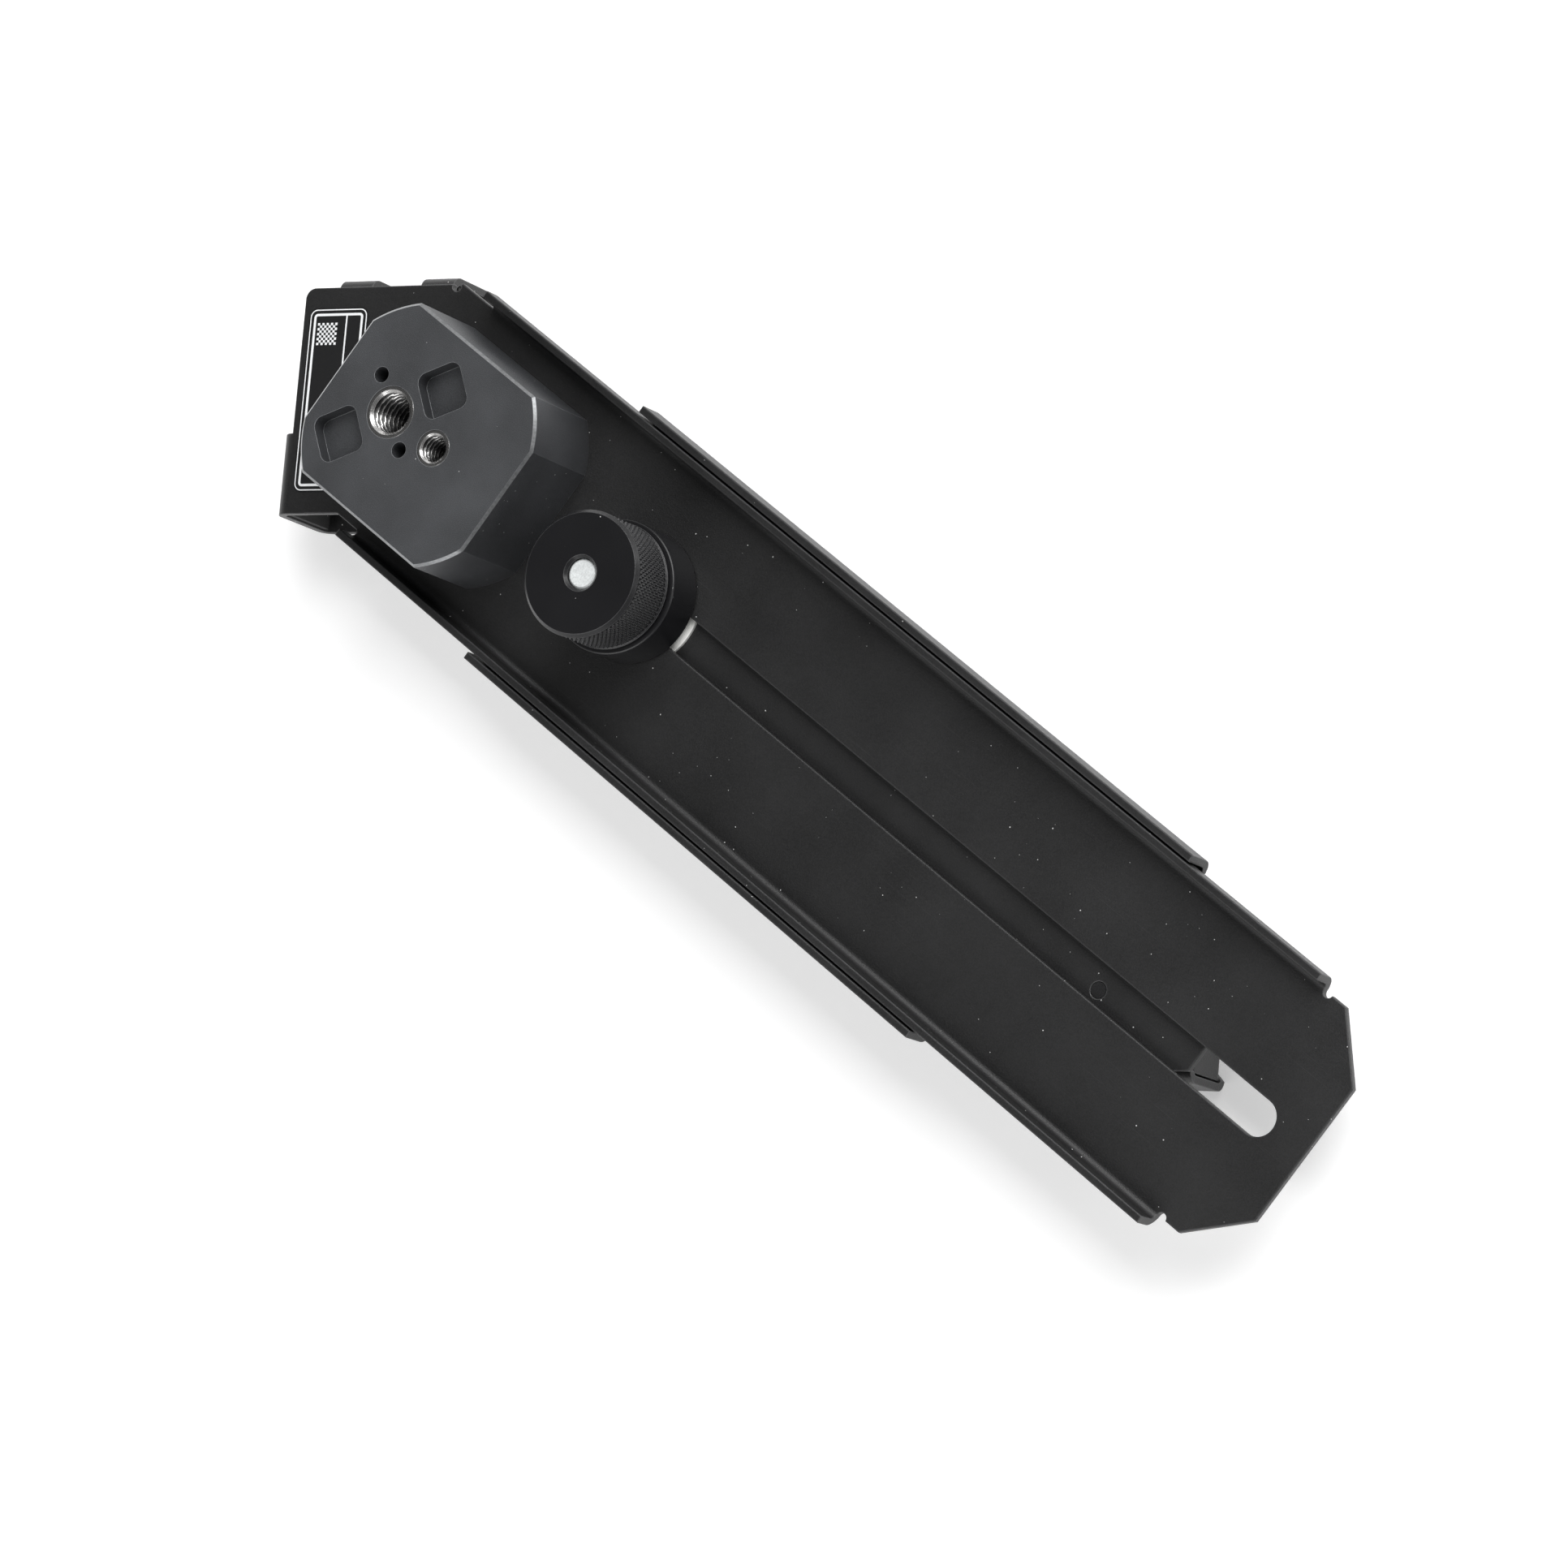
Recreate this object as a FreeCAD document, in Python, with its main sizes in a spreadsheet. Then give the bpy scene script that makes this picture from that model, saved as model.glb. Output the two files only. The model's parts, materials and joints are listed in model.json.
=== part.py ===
import FreeCAD, Part

import os
import re

import Sketcher
from FreeCAD import Placement, Rotation, Vector

# Telescoping holding rail for camera rigs, in millimetres.
#
# A slotted sheet-metal channel carries a thread block at one end. A second channel wraps its back and
# slides along it, and a knurled knob on a stud through the slot clamps the two. Both ends carry hooks
# bent from the sheet, turned to grip the opposite corners of a flat device.
#
# Frame: the origin is the mouth of the large thread, in the block's top face. +Z points out of the
# thread, +X runs along the slot away from the block, and Y lies across the channel.

# Driving dimensions, in millimetres and degrees: name, value and meaning.
DIMENSIONS = (
    ("sheet", 1.5, "thickness of both channels and of the hook plate"),
    ("bend_radius", 1.5, "inner radius of every bend"),
    ("edge_break", 0.22, "rounding of the sheets' cut edges"),
    ("relief_radius", 1.0, "radius of the notches beside the bends"),
    ("channel_width", 56.6, "main channel over its flanges"),
    ("flange_rise", 5.4, "flange top above the main channel's floor"),
    ("flange_root", 4.6, "floor strip that belongs to a flange's profile"),
    ("edge_inset", 2.6, "bare floor edge inside the flange's outer face"),
    ("plate_end_x", 236.4, "end of the main channel"),
    ("end_chamfer", 10.7, "corner cut of the main channel's end"),
    ("flange_end_x", 220.3, "where both main flanges stop"),
    ("upper_flange_x", -8.0, "start of the main flange on the +Y side"),
    ("lower_flange_x", -4.2, "start of the main flange on the -Y side"),
    ("slot_width", 7.2, "width of the long slot"),
    ("slot_end_x", 224.7, "centre of the slot's far end"),
    ("head_angle", 35.0, "turn of both hook corners against the channel"),
    ("head_x", -46.4, "corner of the main channel's head"),
    ("head_y", 5.0, "corner of the main channel's head"),
    ("head_side", 46.0, "short edge of the main channel's head"),
    ("head_corner", 2.2, "corner rounding of the main channel's head"),
    ("wide_stand", 2.6, "wide hooks' outer face beyond their plate's edge"),
    ("small_stand", 1.8, "small hooks' outer face beyond their plate's edge"),
    ("hook_drop", 20.0, "foot of every hook below the main floor's top"),
    ("hook_lip", 10.0, "length of the hook's foot"),
    ("wide_hook", 16.4, "width of the hooks on the short edges"),
    ("small_hook", 7.4, "width of the hooks on the long edges"),
    ("near_hook", 11.4, "head corner to the middle of the first small hook"),
    ("far_hook", 30.0, "head corner to the middle of the second small hook"),
    ("block_length", 47.0, "thread block along X, over its flats"),
    ("block_width", 40.6, "thread block along Y, over its flats"),
    ("block_round", 26.25, "radius of the block's round corners"),
    ("block_height", 21.4, "thread block above the main floor"),
    ("block_x", 7.8, "middle of the thread block"),
    ("block_chamfer", 0.5, "chamfer round the block's top"),
    ("screw_span_x", 28.0, "block screws, centre to centre along X"),
    ("screw_span_y", 24.0, "block screws, centre to centre along Y"),
    ("screw_radius", 2.0, "block screw's thread"),
    ("screw_depth", 8.0, "block screw's grip in the block"),
    ("screw_head_radius", 3.8, "block screw's head"),
    ("screw_head_height", 2.2, "block screw's head"),
    ("screw_play", 0.2, "round the block screws in the sheet"),
    ("large_insert_radius", 5.25, "outside of the 3/8 inch thread insert"),
    ("large_thread_radius", 3.97, "bore of the 3/8 inch thread insert"),
    ("large_thread_depth", 14.0, "length of the 3/8 inch thread insert"),
    ("small_insert_radius", 3.65, "outside of the 1/4 inch thread insert"),
    ("small_thread_radius", 2.59, "bore of the 1/4 inch thread insert"),
    ("small_thread_depth", 11.0, "length of the 1/4 inch thread insert"),
    ("small_thread_x", 12.7, "1/4 inch thread from the 3/8 inch one"),
    ("locator_angle", -35.0, "line of the two locating pin holes"),
    ("locator_span", 16.0, "locating pin holes, centre to centre"),
    ("locator_radius", 1.6, "locating pin hole"),
    ("locator_depth", 7.0, "locating pin hole"),
    ("pocket_span", 23.9, "square pockets, centre to centre"),
    ("pocket_side", 9.6, "side of the square pockets"),
    ("pocket_corner", 2.0, "corner radius of the square pockets"),
    ("pocket_depth", 3.4, "depth of the square pockets"),
    ("plate_gap", 0.8, "between the floors of the two channels"),
    ("side_gap", 0.4, "between the flanges of the two channels"),
    ("slide_x", 36.0, "start of the sliding channel"),
    ("slide_upper_end_x", 186.0, "end of its flange on the +Y side"),
    ("slide_lower_end_x", 160.8, "end of its flange on the -Y side"),
    ("slide_shoulder_x", 193.3, "where its +Y edge turns in"),
    ("slide_tip_x", 207.3, "blunt tip of the sliding channel"),
    ("slide_tip_low", 2.1, "reach of the blunt tip below the centre line"),
    ("hook_tip_x", 207.1, "corner of the hook plate"),
    ("hook_tip_y", -2.3, "corner of the hook plate"),
    ("hook_plate_length", 33.0, "hook plate along its long edge"),
    ("hook_plate_side", 22.0, "hook plate along its short edge"),
    ("hook_plate_tail", 9.0, "hook plate's width at its narrow end"),
    ("hook_setback", 3.0, "hook plate's corner to the edge that carries its wide hook"),
    ("hook_inset", 0.2, "hook plate's corner to the side of its wide hook"),
    ("hook_spacing", 18.6, "between the middles of the hook plate's small hooks"),
    ("mitre_gap", 0.6, "between the wide and the first small hook, along the edges"),
    ("rivet_radius", 1.6, "shank of the rivets in the hook plate"),
    ("rivet_head_radius", 2.8, "head of the rivets"),
    ("rivet_head_height", 0.8, "head of the rivets"),
    ("stud_x", 56.2, "clamp stud with the rail pushed in"),
    ("stud_radius", 3.0, "M6 clamp stud"),
    ("stud_head_radius", 5.5, "stud head behind the sliding channel"),
    ("stud_head_height", 1.2, "stud head behind the sliding channel"),
    ("stud_sink", 0.7, "stud's end below the knob's top face"),
    ("running_gap", 0.05, "radial gap of the parts that turn or slide on each other"),
    ("rest_gap", 0.1, "between flat faces that move over each other"),
    ("bush_wall", 0.5, "wall of the bush round the stud, inside the slot"),
    ("washer_radius", 13.6, "white washer between the channels"),
    ("collar_radius", 13.3, "smooth collar under the knob"),
    ("collar_height", 9.4, "smooth collar under the knob"),
    ("collar_bore", 3.4, "collar's clearance hole"),
    ("neck_radius", 6.0, "collar's neck inside the knob"),
    ("neck_height", 2.0, "collar's neck inside the knob"),
    ("knob_radius", 12.5, "knurled knob"),
    ("knob_height", 13.0, "knurled knob"),
    ("knob_chamfer", 0.7, "chamfers of the knob and the collar"),
    ("knob_mouth", 3.5, "countersink round the stud's end"),
    ("strip_length", 130.0, "glide strips between the channels"),
    ("strip_width", 8.0, "glide strips between the channels"),
    ("strip_height", 0.6, "glide strips between the channels"),
    ("strip_y", 18.0, "middle of each glide strip from the centre line"),
    ("strip_inset", 10.0, "sliding channel's start to its glide strips"),
    ("pad_level", 6.3, "face that the device rests on, below the main floor's top"),
    ("pad_inset", 3.0, "pads inside the edges of their plates"),
    ("main_pad_length", 13.0, "main head pad along the long edge"),
    ("main_pad_side", 36.0, "main head pad along the short edge"),
    ("slide_pad_inset", 4.5, "hook plate pad inside the plate's edges"),
    ("slide_pad_length", 11.0, "hook plate pad along the long edge"),
    ("slide_pad_side", 13.5, "hook plate pad along the short edge"),
    ("pad_corner", 2.0, "corner radius of the pads"),
    ("liner_height", 1.2, "thickness of the rubber liners in the hooks"),
    ("liner_margin", 0.4, "hook's side to its liner"),
    ("label_length", 13.6, "label across"),
    ("label_side", 37.4, "label along"),
    ("label_inset", 1.4, "label inside the head's short edge"),
    ("label_drop", 4.2, "label below the head's corner"),
    ("label_corner", 1.8, "corner radius of the label"),
    ("label_height", 0.12, "thickness of the label"),
)
NAMES = {name for name, value, meaning in DIMENSIONS}
Z_AXIS = Vector(0, 0, 1)
TOUCH = 1e-4

doc = FreeCAD.newDocument("holding_rail")
sizes = doc.addObject("Spreadsheet::Sheet", "Sizes")
for row, (name, value, meaning) in enumerate(DIMENSIONS, start=1):
    sizes.set(f"A{row}", name)
    sizes.set(f"B{row}", str(value))
    sizes.set(f"C{row}", meaning)
    sizes.setAlias(f"B{row}", name)
doc.recompute()


def bound(text):
    """Return an expression with each dimension's name pointed at its cell."""
    return re.sub(r"[A-Za-z_]\w*", lambda m: "Sizes." + m[0] if m[0] in NAMES else m[0], text)


def place(item, x="0", y="0", z="0", turn="0"):
    """Bind an object's placement: a point, and a turn about the vertical in degrees."""
    item.Placement = Placement(Vector(0, 0, 0), Rotation(Z_AXIS, 45))
    for axis, size in (("x", x), ("y", y), ("z", z)):
        item.setExpression(f"Placement.Base.{axis}", bound(size))
    item.setExpression("Placement.Rotation.Angle", bound(turn))
    return item


def new_body(name):
    body = doc.addObject("PartDesign::Body", name)
    body.Label = name
    return body


def new_sketch(body, role, suffix, height="0"):
    """Add a sketch on one of the body's own origin planes, lifted along the plane's normal."""
    sketch = body.newObject("Sketcher::SketchObject", f"{body.Name}_{suffix}")
    plane = next(item for item in body.Origin.OriginFeatures if item.Role == role)
    sketch.AttachmentSupport = (plane, "")
    sketch.MapMode = "FlatFace"
    sketch.setExpression("AttachmentOffset.Base.z", bound(height))
    return sketch


def hold(sketch, geometry, point, values, expressions):
    """Fix one point of a sketch by two named distances from the sketch's origin."""
    for axis, value, size in zip("XY", values, expressions):
        index = sketch.addConstraint(Sketcher.Constraint(f"Distance{axis}", -1, 1, geometry, point, value))
        sketch.renameConstraint(index, f"at_{geometry}_{axis}")
        sketch.setExpression(f"Constraints.at_{geometry}_{axis}", bound(size))


def outline(sketch, corners):
    """Draw a closed polygon whose corners are pairs of expressions."""
    first = sketch.GeometryCount
    count = len(corners)
    start = Vector(20, 0, 0)
    seeds = [Rotation(Z_AXIS, 360 * index / count).multVec(start) for index in range(count)]
    for index in range(count):
        sketch.addGeometry(Part.LineSegment(seeds[index], seeds[(index + 1) % count]), False)
    for index in range(count):
        following = first + (index + 1) % count
        sketch.addConstraint(Sketcher.Constraint("Coincident", first + index, 2, following, 1))
    for index, corner in enumerate(corners):
        hold(sketch, first + index, 1, (seeds[index].x, seeds[index].y), corner)


def circle(sketch, x, y, radius):
    """Draw a circle from three expressions."""
    index = sketch.GeometryCount
    sketch.addGeometry(Part.Circle(Vector(index + 1, 1, 0), Z_AXIS, 1), False)
    hold(sketch, index, 3, (index + 1, 1), (x, y))
    radius_index = sketch.addConstraint(Sketcher.Constraint("Radius", index, 1))
    sketch.renameConstraint(radius_index, f"radius_{index}")
    sketch.setExpression(f"Constraints.radius_{index}", bound(radius))


def pad(body, sketch, length, midplane=False):
    feature = body.newObject("PartDesign::Pad", f"{sketch.Name}_pad")
    feature.Profile = sketch
    feature.Midplane = midplane
    feature.setExpression("Length", bound(length))
    doc.recompute()
    return feature


def pocket(body, sketch, depth=None, upward=False):
    """Cut a sketch into the body, through everything or to a depth, and check that it cut."""
    before = body.Shape.Volume
    feature = body.newObject("PartDesign::Pocket", f"{sketch.Name}_pocket")
    feature.Profile = sketch
    feature.Reversed = upward
    if depth is None:
        feature.Type = "ThroughAll"
        feature.Midplane = True
    else:
        feature.setExpression("Length", bound(depth))
    doc.recompute()
    if body.Shape.Volume > before - TOUCH:
        raise RuntimeError(f"{feature.Name} cut nothing")
    return feature


def dress(body, kind, radius, wanted):
    """Fillet or chamfer every edge of the body's tip that the test picks."""
    base = body.Tip
    names = [f"Edge{index}" for index, edge in enumerate(base.Shape.Edges, start=1) if wanted(edge)]
    if not names:
        raise RuntimeError(f"{body.Name} has no edge to {kind.lower()}")
    feature = body.newObject(f"PartDesign::{kind}", f"{body.Name}_{kind.lower()}_{len(body.Group)}")
    feature.Base = (base, names)
    feature.setExpression("Radius" if kind == "Fillet" else "Size", bound(radius))
    doc.recompute()
    return feature


def level(edge, height):
    """Whether an edge lies at one height."""
    box = edge.BoundBox
    return abs(box.ZMin - height) < TOUCH and abs(box.ZMax - height) < TOUCH


def upright(edge):
    """Whether an edge stands vertically."""
    box = edge.BoundBox
    return box.XLength < TOUCH and box.YLength < TOUCH


def fuse(name, pieces):
    joined = doc.addObject("Part::MultiFuse", name)
    joined.Shapes = pieces
    joined.Refine = True
    joined.Label = name
    return joined


def cut(name, base, tool):
    result = doc.addObject("Part::Cut", name)
    result.Base = base
    result.Tool = tool
    result.Label = name
    return result


def group(name, pieces):
    together = doc.addObject("Part::Compound", name)
    together.Links = pieces
    together.Label = name
    return together


def cylinder(name, radius, height, x, y, z):
    item = doc.addObject("Part::Cylinder", name)
    item.setExpression("Radius", bound(radius))
    item.setExpression("Height", bound(height))
    return place(item, x, y, z)


def block(name, length, width, height, x, y, z, turn="0"):
    item = doc.addObject("Part::Box", name)
    item.Label = name
    item.setExpression("Length", bound(length))
    item.setExpression("Width", bound(width))
    item.setExpression("Height", bound(height))
    return place(item, x, y, z, turn)


def turned(name, corners, x="0", y="0", z="0"):
    """Revolve a half profile, given as (radius, height) pairs, about a vertical axis."""
    body = new_body(name)
    sketch = new_sketch(body, "XZ_Plane", "profile")
    outline(sketch, corners)
    feature = body.newObject("PartDesign::Revolution", f"{name}_turn")
    feature.Profile = sketch
    feature.ReferenceAxis = (sketch, ["V_Axis"])
    feature.Angle = 360
    doc.recompute()
    return place(body, x, y, z)


def rounded_plate(name, length, side, height, corner, x, y, z, turn):
    """A flat plate from its own corner towards +X and -Y, with rounded corners."""
    body = new_body(name)
    sketch = new_sketch(body, "XY_Plane", "outline")
    outline(sketch, (("0", "0"), ("0", f"-({side})"), (length, f"-({side})"), (length, "0")))
    pad(body, sketch, height)
    dress(body, "Fillet", corner, upright)
    return place(body, x, y, z, turn)


def flange(name, side, start, end, half_width, z, rise):
    """An upright side with its bend and a strip of floor. Height zero is the floor's top."""
    body = new_body(name)
    sketch = new_sketch(body, "YZ_Plane", "section")
    sign = "" if side > 0 else "-"
    outer = f"{sign}({half_width})"
    inner = f"{sign}({half_width} - sheet)"
    root = f"{sign}({half_width} - flange_root)"
    outline(sketch, ((root, "-sheet"), (outer, "-sheet"), (outer, rise), (inner, rise), (inner, "0"), (root, "0")))
    pad(body, sketch, f"{end} - ({start})")
    lengthwise = body.Tip.Shape.BoundBox.XLength

    def runs_at(edge, outside, height):
        box = edge.BoundBox
        reach = max(abs(box.YMin), abs(box.YMax))
        return box.XLength > lengthwise - TOUCH and abs(box.ZMin - height) < TOUCH and (
            (reach > widest - TOUCH) == outside)

    widest = max(abs(body.Tip.Shape.BoundBox.YMin), abs(body.Tip.Shape.BoundBox.YMax))
    thickness = sizes.sheet
    strip = widest - sizes.flange_root
    dress(body, "Fillet", "bend_radius + sheet", lambda edge: runs_at(edge, True, -thickness))
    dress(body, "Fillet", "bend_radius", lambda edge: runs_at(edge, False, 0)
          and abs(edge.BoundBox.YMin) > strip + TOUCH and abs(edge.BoundBox.YMax) > strip + TOUCH)
    top = body.Tip.Shape.BoundBox.ZMax
    dress(body, "Fillet", "edge_break", lambda edge: level(edge, top) and edge.BoundBox.XLength > lengthwise - TOUCH)
    return place(body, start, "0", z)


def hook(name, corner, turn, long_edge, along, width, stand, z, drop):
    """A finger bent down from a plate's edge, with a lip that turns back under the plate.

    In its own frame X points out of the plate, and height zero is the plate's top. The corner is the
    plate's corner, turn is the direction of its long edge, and along is measured from the corner.
    """
    body = new_body(name)
    sketch = new_sketch(body, "XZ_Plane", "section")
    inner = f"{stand} - sheet"
    toe = f"{stand} - hook_lip"
    foot = f"-({drop})"
    outline(sketch, (("-flange_root", "0"), (stand, "0"), (stand, foot), (toe, foot),
                     (toe, f"{foot} + sheet"), (inner, f"{foot} + sheet"), (inner, "-sheet"),
                     ("-flange_root", "-sheet")))
    pad(body, sketch, width, midplane=True)
    across = body.Tip.Shape.BoundBox.YLength
    face_x = body.Tip.Shape.BoundBox.XMax
    thickness = sizes.sheet

    def bends_at(edge, x):
        box = edge.BoundBox
        return box.YLength > across - TOUCH and abs(box.XMin - x) < TOUCH

    dress(body, "Fillet", "bend_radius + sheet", lambda edge: bends_at(edge, face_x))
    dress(body, "Fillet", "bend_radius", lambda edge: bends_at(edge, face_x - thickness))
    toe_x = body.Tip.Shape.BoundBox.XMin
    foot_z = body.Tip.Shape.BoundBox.ZMin
    dress(body, "Fillet", "sheet", lambda edge: upright(edge) and edge.BoundBox.ZMin < foot_z + TOUCH)
    x, y = corner
    if long_edge:
        return place(body, f"{x} + ({along}) * cos({turn})", f"{y} + ({along}) * sin({turn})", z, f"{turn} + 90")
    return place(body, f"{x} + ({along}) * sin({turn})", f"{y} - ({along}) * cos({turn})", z, f"{turn} + 180")


def in_head(corner, turn, x, y):
    """The place of a point given in a head's own frame, as two expressions."""
    corner_x, corner_y = corner
    return (f"{corner_x} + ({x}) * cos({turn}) - ({y}) * sin({turn})",
            f"{corner_y} + ({x}) * sin({turn}) + ({y}) * cos({turn})")


# Levels of the stack, measured from the block's top face.
FLOOR = "-block_height"
SLIDE_FLOOR = f"{FLOOR} - sheet - plate_gap"
HOOK_PLATE = f"{SLIDE_FLOOR} - sheet"
SLIDE_DROP = "hook_drop - 2 * sheet - plate_gap"

HALF = "channel_width / 2"
EDGE = f"({HALF} - edge_inset)"
SLIDE_HALF = f"({HALF} + side_gap + sheet)"
SLIDE_EDGE = f"({SLIDE_HALF} - edge_inset)"

MAIN_CORNER = ("head_x", "head_y")
MAIN_TURN = "(head_angle)"
SLIDE_CORNER = ("hook_tip_x", "hook_tip_y")
SLIDE_TURN = "(head_angle + 180)"

SCREW_PLACES = [(f"block_x {a} screw_span_x / 2", f"{b} screw_span_y / 2") for a in "-+" for b in "-+"]
RIVET_PLACES = [("hook_plate_length - 14", "-6.5"), ("hook_plate_length - 14", "-14.5"),
                ("hook_plate_length - 4", "-6.5")]

# The wide hook's edge is set back from the hook plate's corner.
SLIDE_CORNERS = dict.fromkeys(("near", "far"), SLIDE_CORNER)
SLIDE_CORNERS["wide"] = in_head(SLIDE_CORNER, SLIDE_TURN, "hook_setback", "0")
MITRE_START = {"near": "-wide_hook", "wide": "wide_hook"}

# Hooks of both heads: name, whether on the long edge, place along that edge, width and stand.
MAIN_HOOKS = (("wide", False, "head_side - wide_hook / 2", "wide_hook", "wide_stand"),
              ("near", True, "near_hook", "small_hook", "small_stand"),
              ("far", True, "far_hook", "small_hook", "small_stand"))
SLIDE_HOOKS = (("wide", False, "hook_inset + wide_hook / 2", "wide_hook", "wide_stand"),
               ("near", True, "small_hook / 2", "small_hook", "small_stand"),
               ("far", True, "small_hook / 2 + hook_spacing", "small_hook", "small_stand"))

# The first small hook's liner stops short of the wide hook's.
SLIDE_LINERS = (SLIDE_HOOKS[0], SLIDE_HOOKS[2],
                ("near", True, "(hook_setback + small_hook) / 2", "(small_hook - hook_setback)", "small_stand"))


# ---- Main channel: floor with the slot, two flanges and three hooks, all one sheet.
def make_main_channel():
    floor = new_body("main_floor")
    sketch = new_sketch(floor, "XY_Plane", "outline")
    low_x = "(head_x + head_side * sin(head_angle))"
    low_y = "(head_y - head_side * cos(head_angle))"
    outline(sketch, (
        ("head_x", "head_y"),
        (low_x, low_y),
        (f"{low_x} - ({EDGE} + {low_y}) / tan(head_angle)", f"-{EDGE}"),
        ("plate_end_x - end_chamfer", f"-{EDGE}"),
        ("plate_end_x", f"-{EDGE} + end_chamfer"),
        ("plate_end_x", f"{EDGE} - end_chamfer"),
        ("plate_end_x - end_chamfer", EDGE),
        (f"head_x + ({EDGE} - head_y) / tan(head_angle)", EDGE),
    ))
    pad(floor, sketch, "sheet")
    corner_x = sizes.head_x
    dress(floor, "Fillet", "head_corner", lambda edge: upright(edge) and edge.BoundBox.XMin < corner_x + TOUCH)

    slot_start = "(stud_x - rest_gap)"
    slot = new_sketch(floor, "XY_Plane", "slot")
    outline(slot, ((slot_start, "-slot_width / 2"), ("slot_end_x", "-slot_width / 2"),
                   ("slot_end_x", "slot_width / 2"), (slot_start, "slot_width / 2")))
    pocket(floor, slot)
    ends = new_sketch(floor, "XY_Plane", "slot_ends")
    circle(ends, slot_start, "0", "slot_width / 2")
    circle(ends, "slot_end_x", "0", "slot_width / 2")
    pocket(floor, ends)
    dress(floor, "Fillet", "edge_break", lambda edge: level(edge, 0) or level(edge, sizes.sheet))

    screws = new_sketch(floor, "XY_Plane", "screws")
    for x, y in SCREW_PLACES:
        circle(screws, x, y, "screw_radius + screw_play")
    pocket(floor, screws)
    place(floor, "0", "0", f"{FLOOR} - sheet")

    pieces = [floor]
    pieces.append(flange("main_upper_flange", 1, "upper_flange_x", "flange_end_x", HALF, FLOOR, "flange_rise"))
    pieces.append(flange("main_lower_flange", -1, "lower_flange_x", "flange_end_x", HALF, FLOOR, "flange_rise"))
    for hook_name, *layout in MAIN_HOOKS:
        pieces.append(hook(f"main_hook_{hook_name}", MAIN_CORNER, MAIN_TURN, *layout, FLOOR, "hook_drop"))
    sheet = fuse("main_sheet", pieces)

    beside_hook = in_head(MAIN_CORNER, MAIN_TURN, "far_hook + small_hook / 2 + relief_radius", "-relief_radius / 2")
    notches = [("flange_end_x + relief_radius", EDGE), ("flange_end_x + relief_radius", f"-{EDGE}"),
               ("lower_flange_x - relief_radius / 4", f"-{EDGE} - relief_radius"), beside_hook]
    tools = [cylinder(f"relief_{index}", "relief_radius", "3 * sheet", x, y, f"{FLOOR} - 2 * sheet")
             for index, (x, y) in enumerate(notches)]
    return cut("main_channel", sheet, fuse("reliefs", tools))


# ---- Thread block and what is in it.
def make_block():
    body = new_body("block_blank")
    sketch = new_sketch(body, "XY_Plane", "round", FLOOR)
    circle(sketch, "block_x", "0", "block_round")
    pad(body, sketch, "block_height")

    flats = new_sketch(body, "XY_Plane", "flats")
    for length, width in (("3 * block_round", "3 * block_round"), ("block_length / 2", "block_width / 2")):
        outline(flats, ((f"block_x - {length}", f"-{width}"), (f"block_x + {length}", f"-{width}"),
                        (f"block_x + {length}", width), (f"block_x - {length}", width)))
    pocket(body, flats)
    dress(body, "Chamfer", "block_chamfer", lambda edge: level(edge, 0))

    threads = (("large", "0", "large_insert_radius", "large_thread_depth"),
               ("small", "small_thread_x", "small_insert_radius", "small_thread_depth"))
    for suffix, x, radius, depth in threads:
        hole = new_sketch(body, "XY_Plane", suffix)
        circle(hole, x, "0", radius)
        pocket(body, hole, depth)
    locators = new_sketch(body, "XY_Plane", "locators")
    for sign in "-+":
        circle(locators, f"{sign}locator_span / 2 * cos(locator_angle)",
               f"{sign}locator_span / 2 * sin(locator_angle)", "locator_radius")
    pocket(body, locators, "locator_depth")
    screws = new_sketch(body, "XY_Plane", "screws", FLOOR)
    for x, y in SCREW_PLACES:
        circle(screws, x, y, "screw_radius")
    pocket(body, screws, "screw_depth", upward=True)

    pockets = []
    for index, sign in enumerate("-+"):
        middle = f"({sign}pocket_span / 2)"
        x, y = in_head(("0", "0"), "(locator_angle)", "-pocket_side / 2", f"{middle} + pocket_side / 2")
        pockets.append(rounded_plate(f"pocket_{index}", "pocket_side", "pocket_side", "2 * pocket_depth",
                                     "pocket_corner", x, y, "-pocket_depth", "locator_angle"))
    return cut("mounting_block", body, fuse("pockets", pockets))


def make_insert(name, x, bore, radius, depth):
    return turned(name, ((bore, f"-{depth}"), (radius, f"-{depth}"), (radius, "0"), (bore, "0")), x)


def make_screws():
    corners = (("0", "-screw_head_height"), ("screw_head_radius", "-screw_head_height"),
               ("screw_head_radius", "0"), ("screw_radius", "0"), ("screw_radius", "sheet + screw_depth"),
               ("0", "sheet + screw_depth"))
    screws = [turned(f"block_screw_{index}", corners, x, y, f"{FLOOR} - sheet")
              for index, (x, y) in enumerate(SCREW_PLACES)]
    return group("block_screws", screws)


def make_label():
    x, y = in_head(MAIN_CORNER, MAIN_TURN, "label_inset", "-label_drop")
    return rounded_plate("rating_label", "label_length", "label_side", "label_height", "label_corner",
                         x, y, FLOOR, MAIN_TURN)


def make_pad(name, corner, turn, inset, length, side, under):
    x, y = in_head(corner, turn, inset, f"-{inset}")
    bottom = f"{FLOOR} - pad_level"
    return rounded_plate(name, length, side, f"{under} - ({bottom})", "pad_corner", x, y, bottom, turn)


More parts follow.
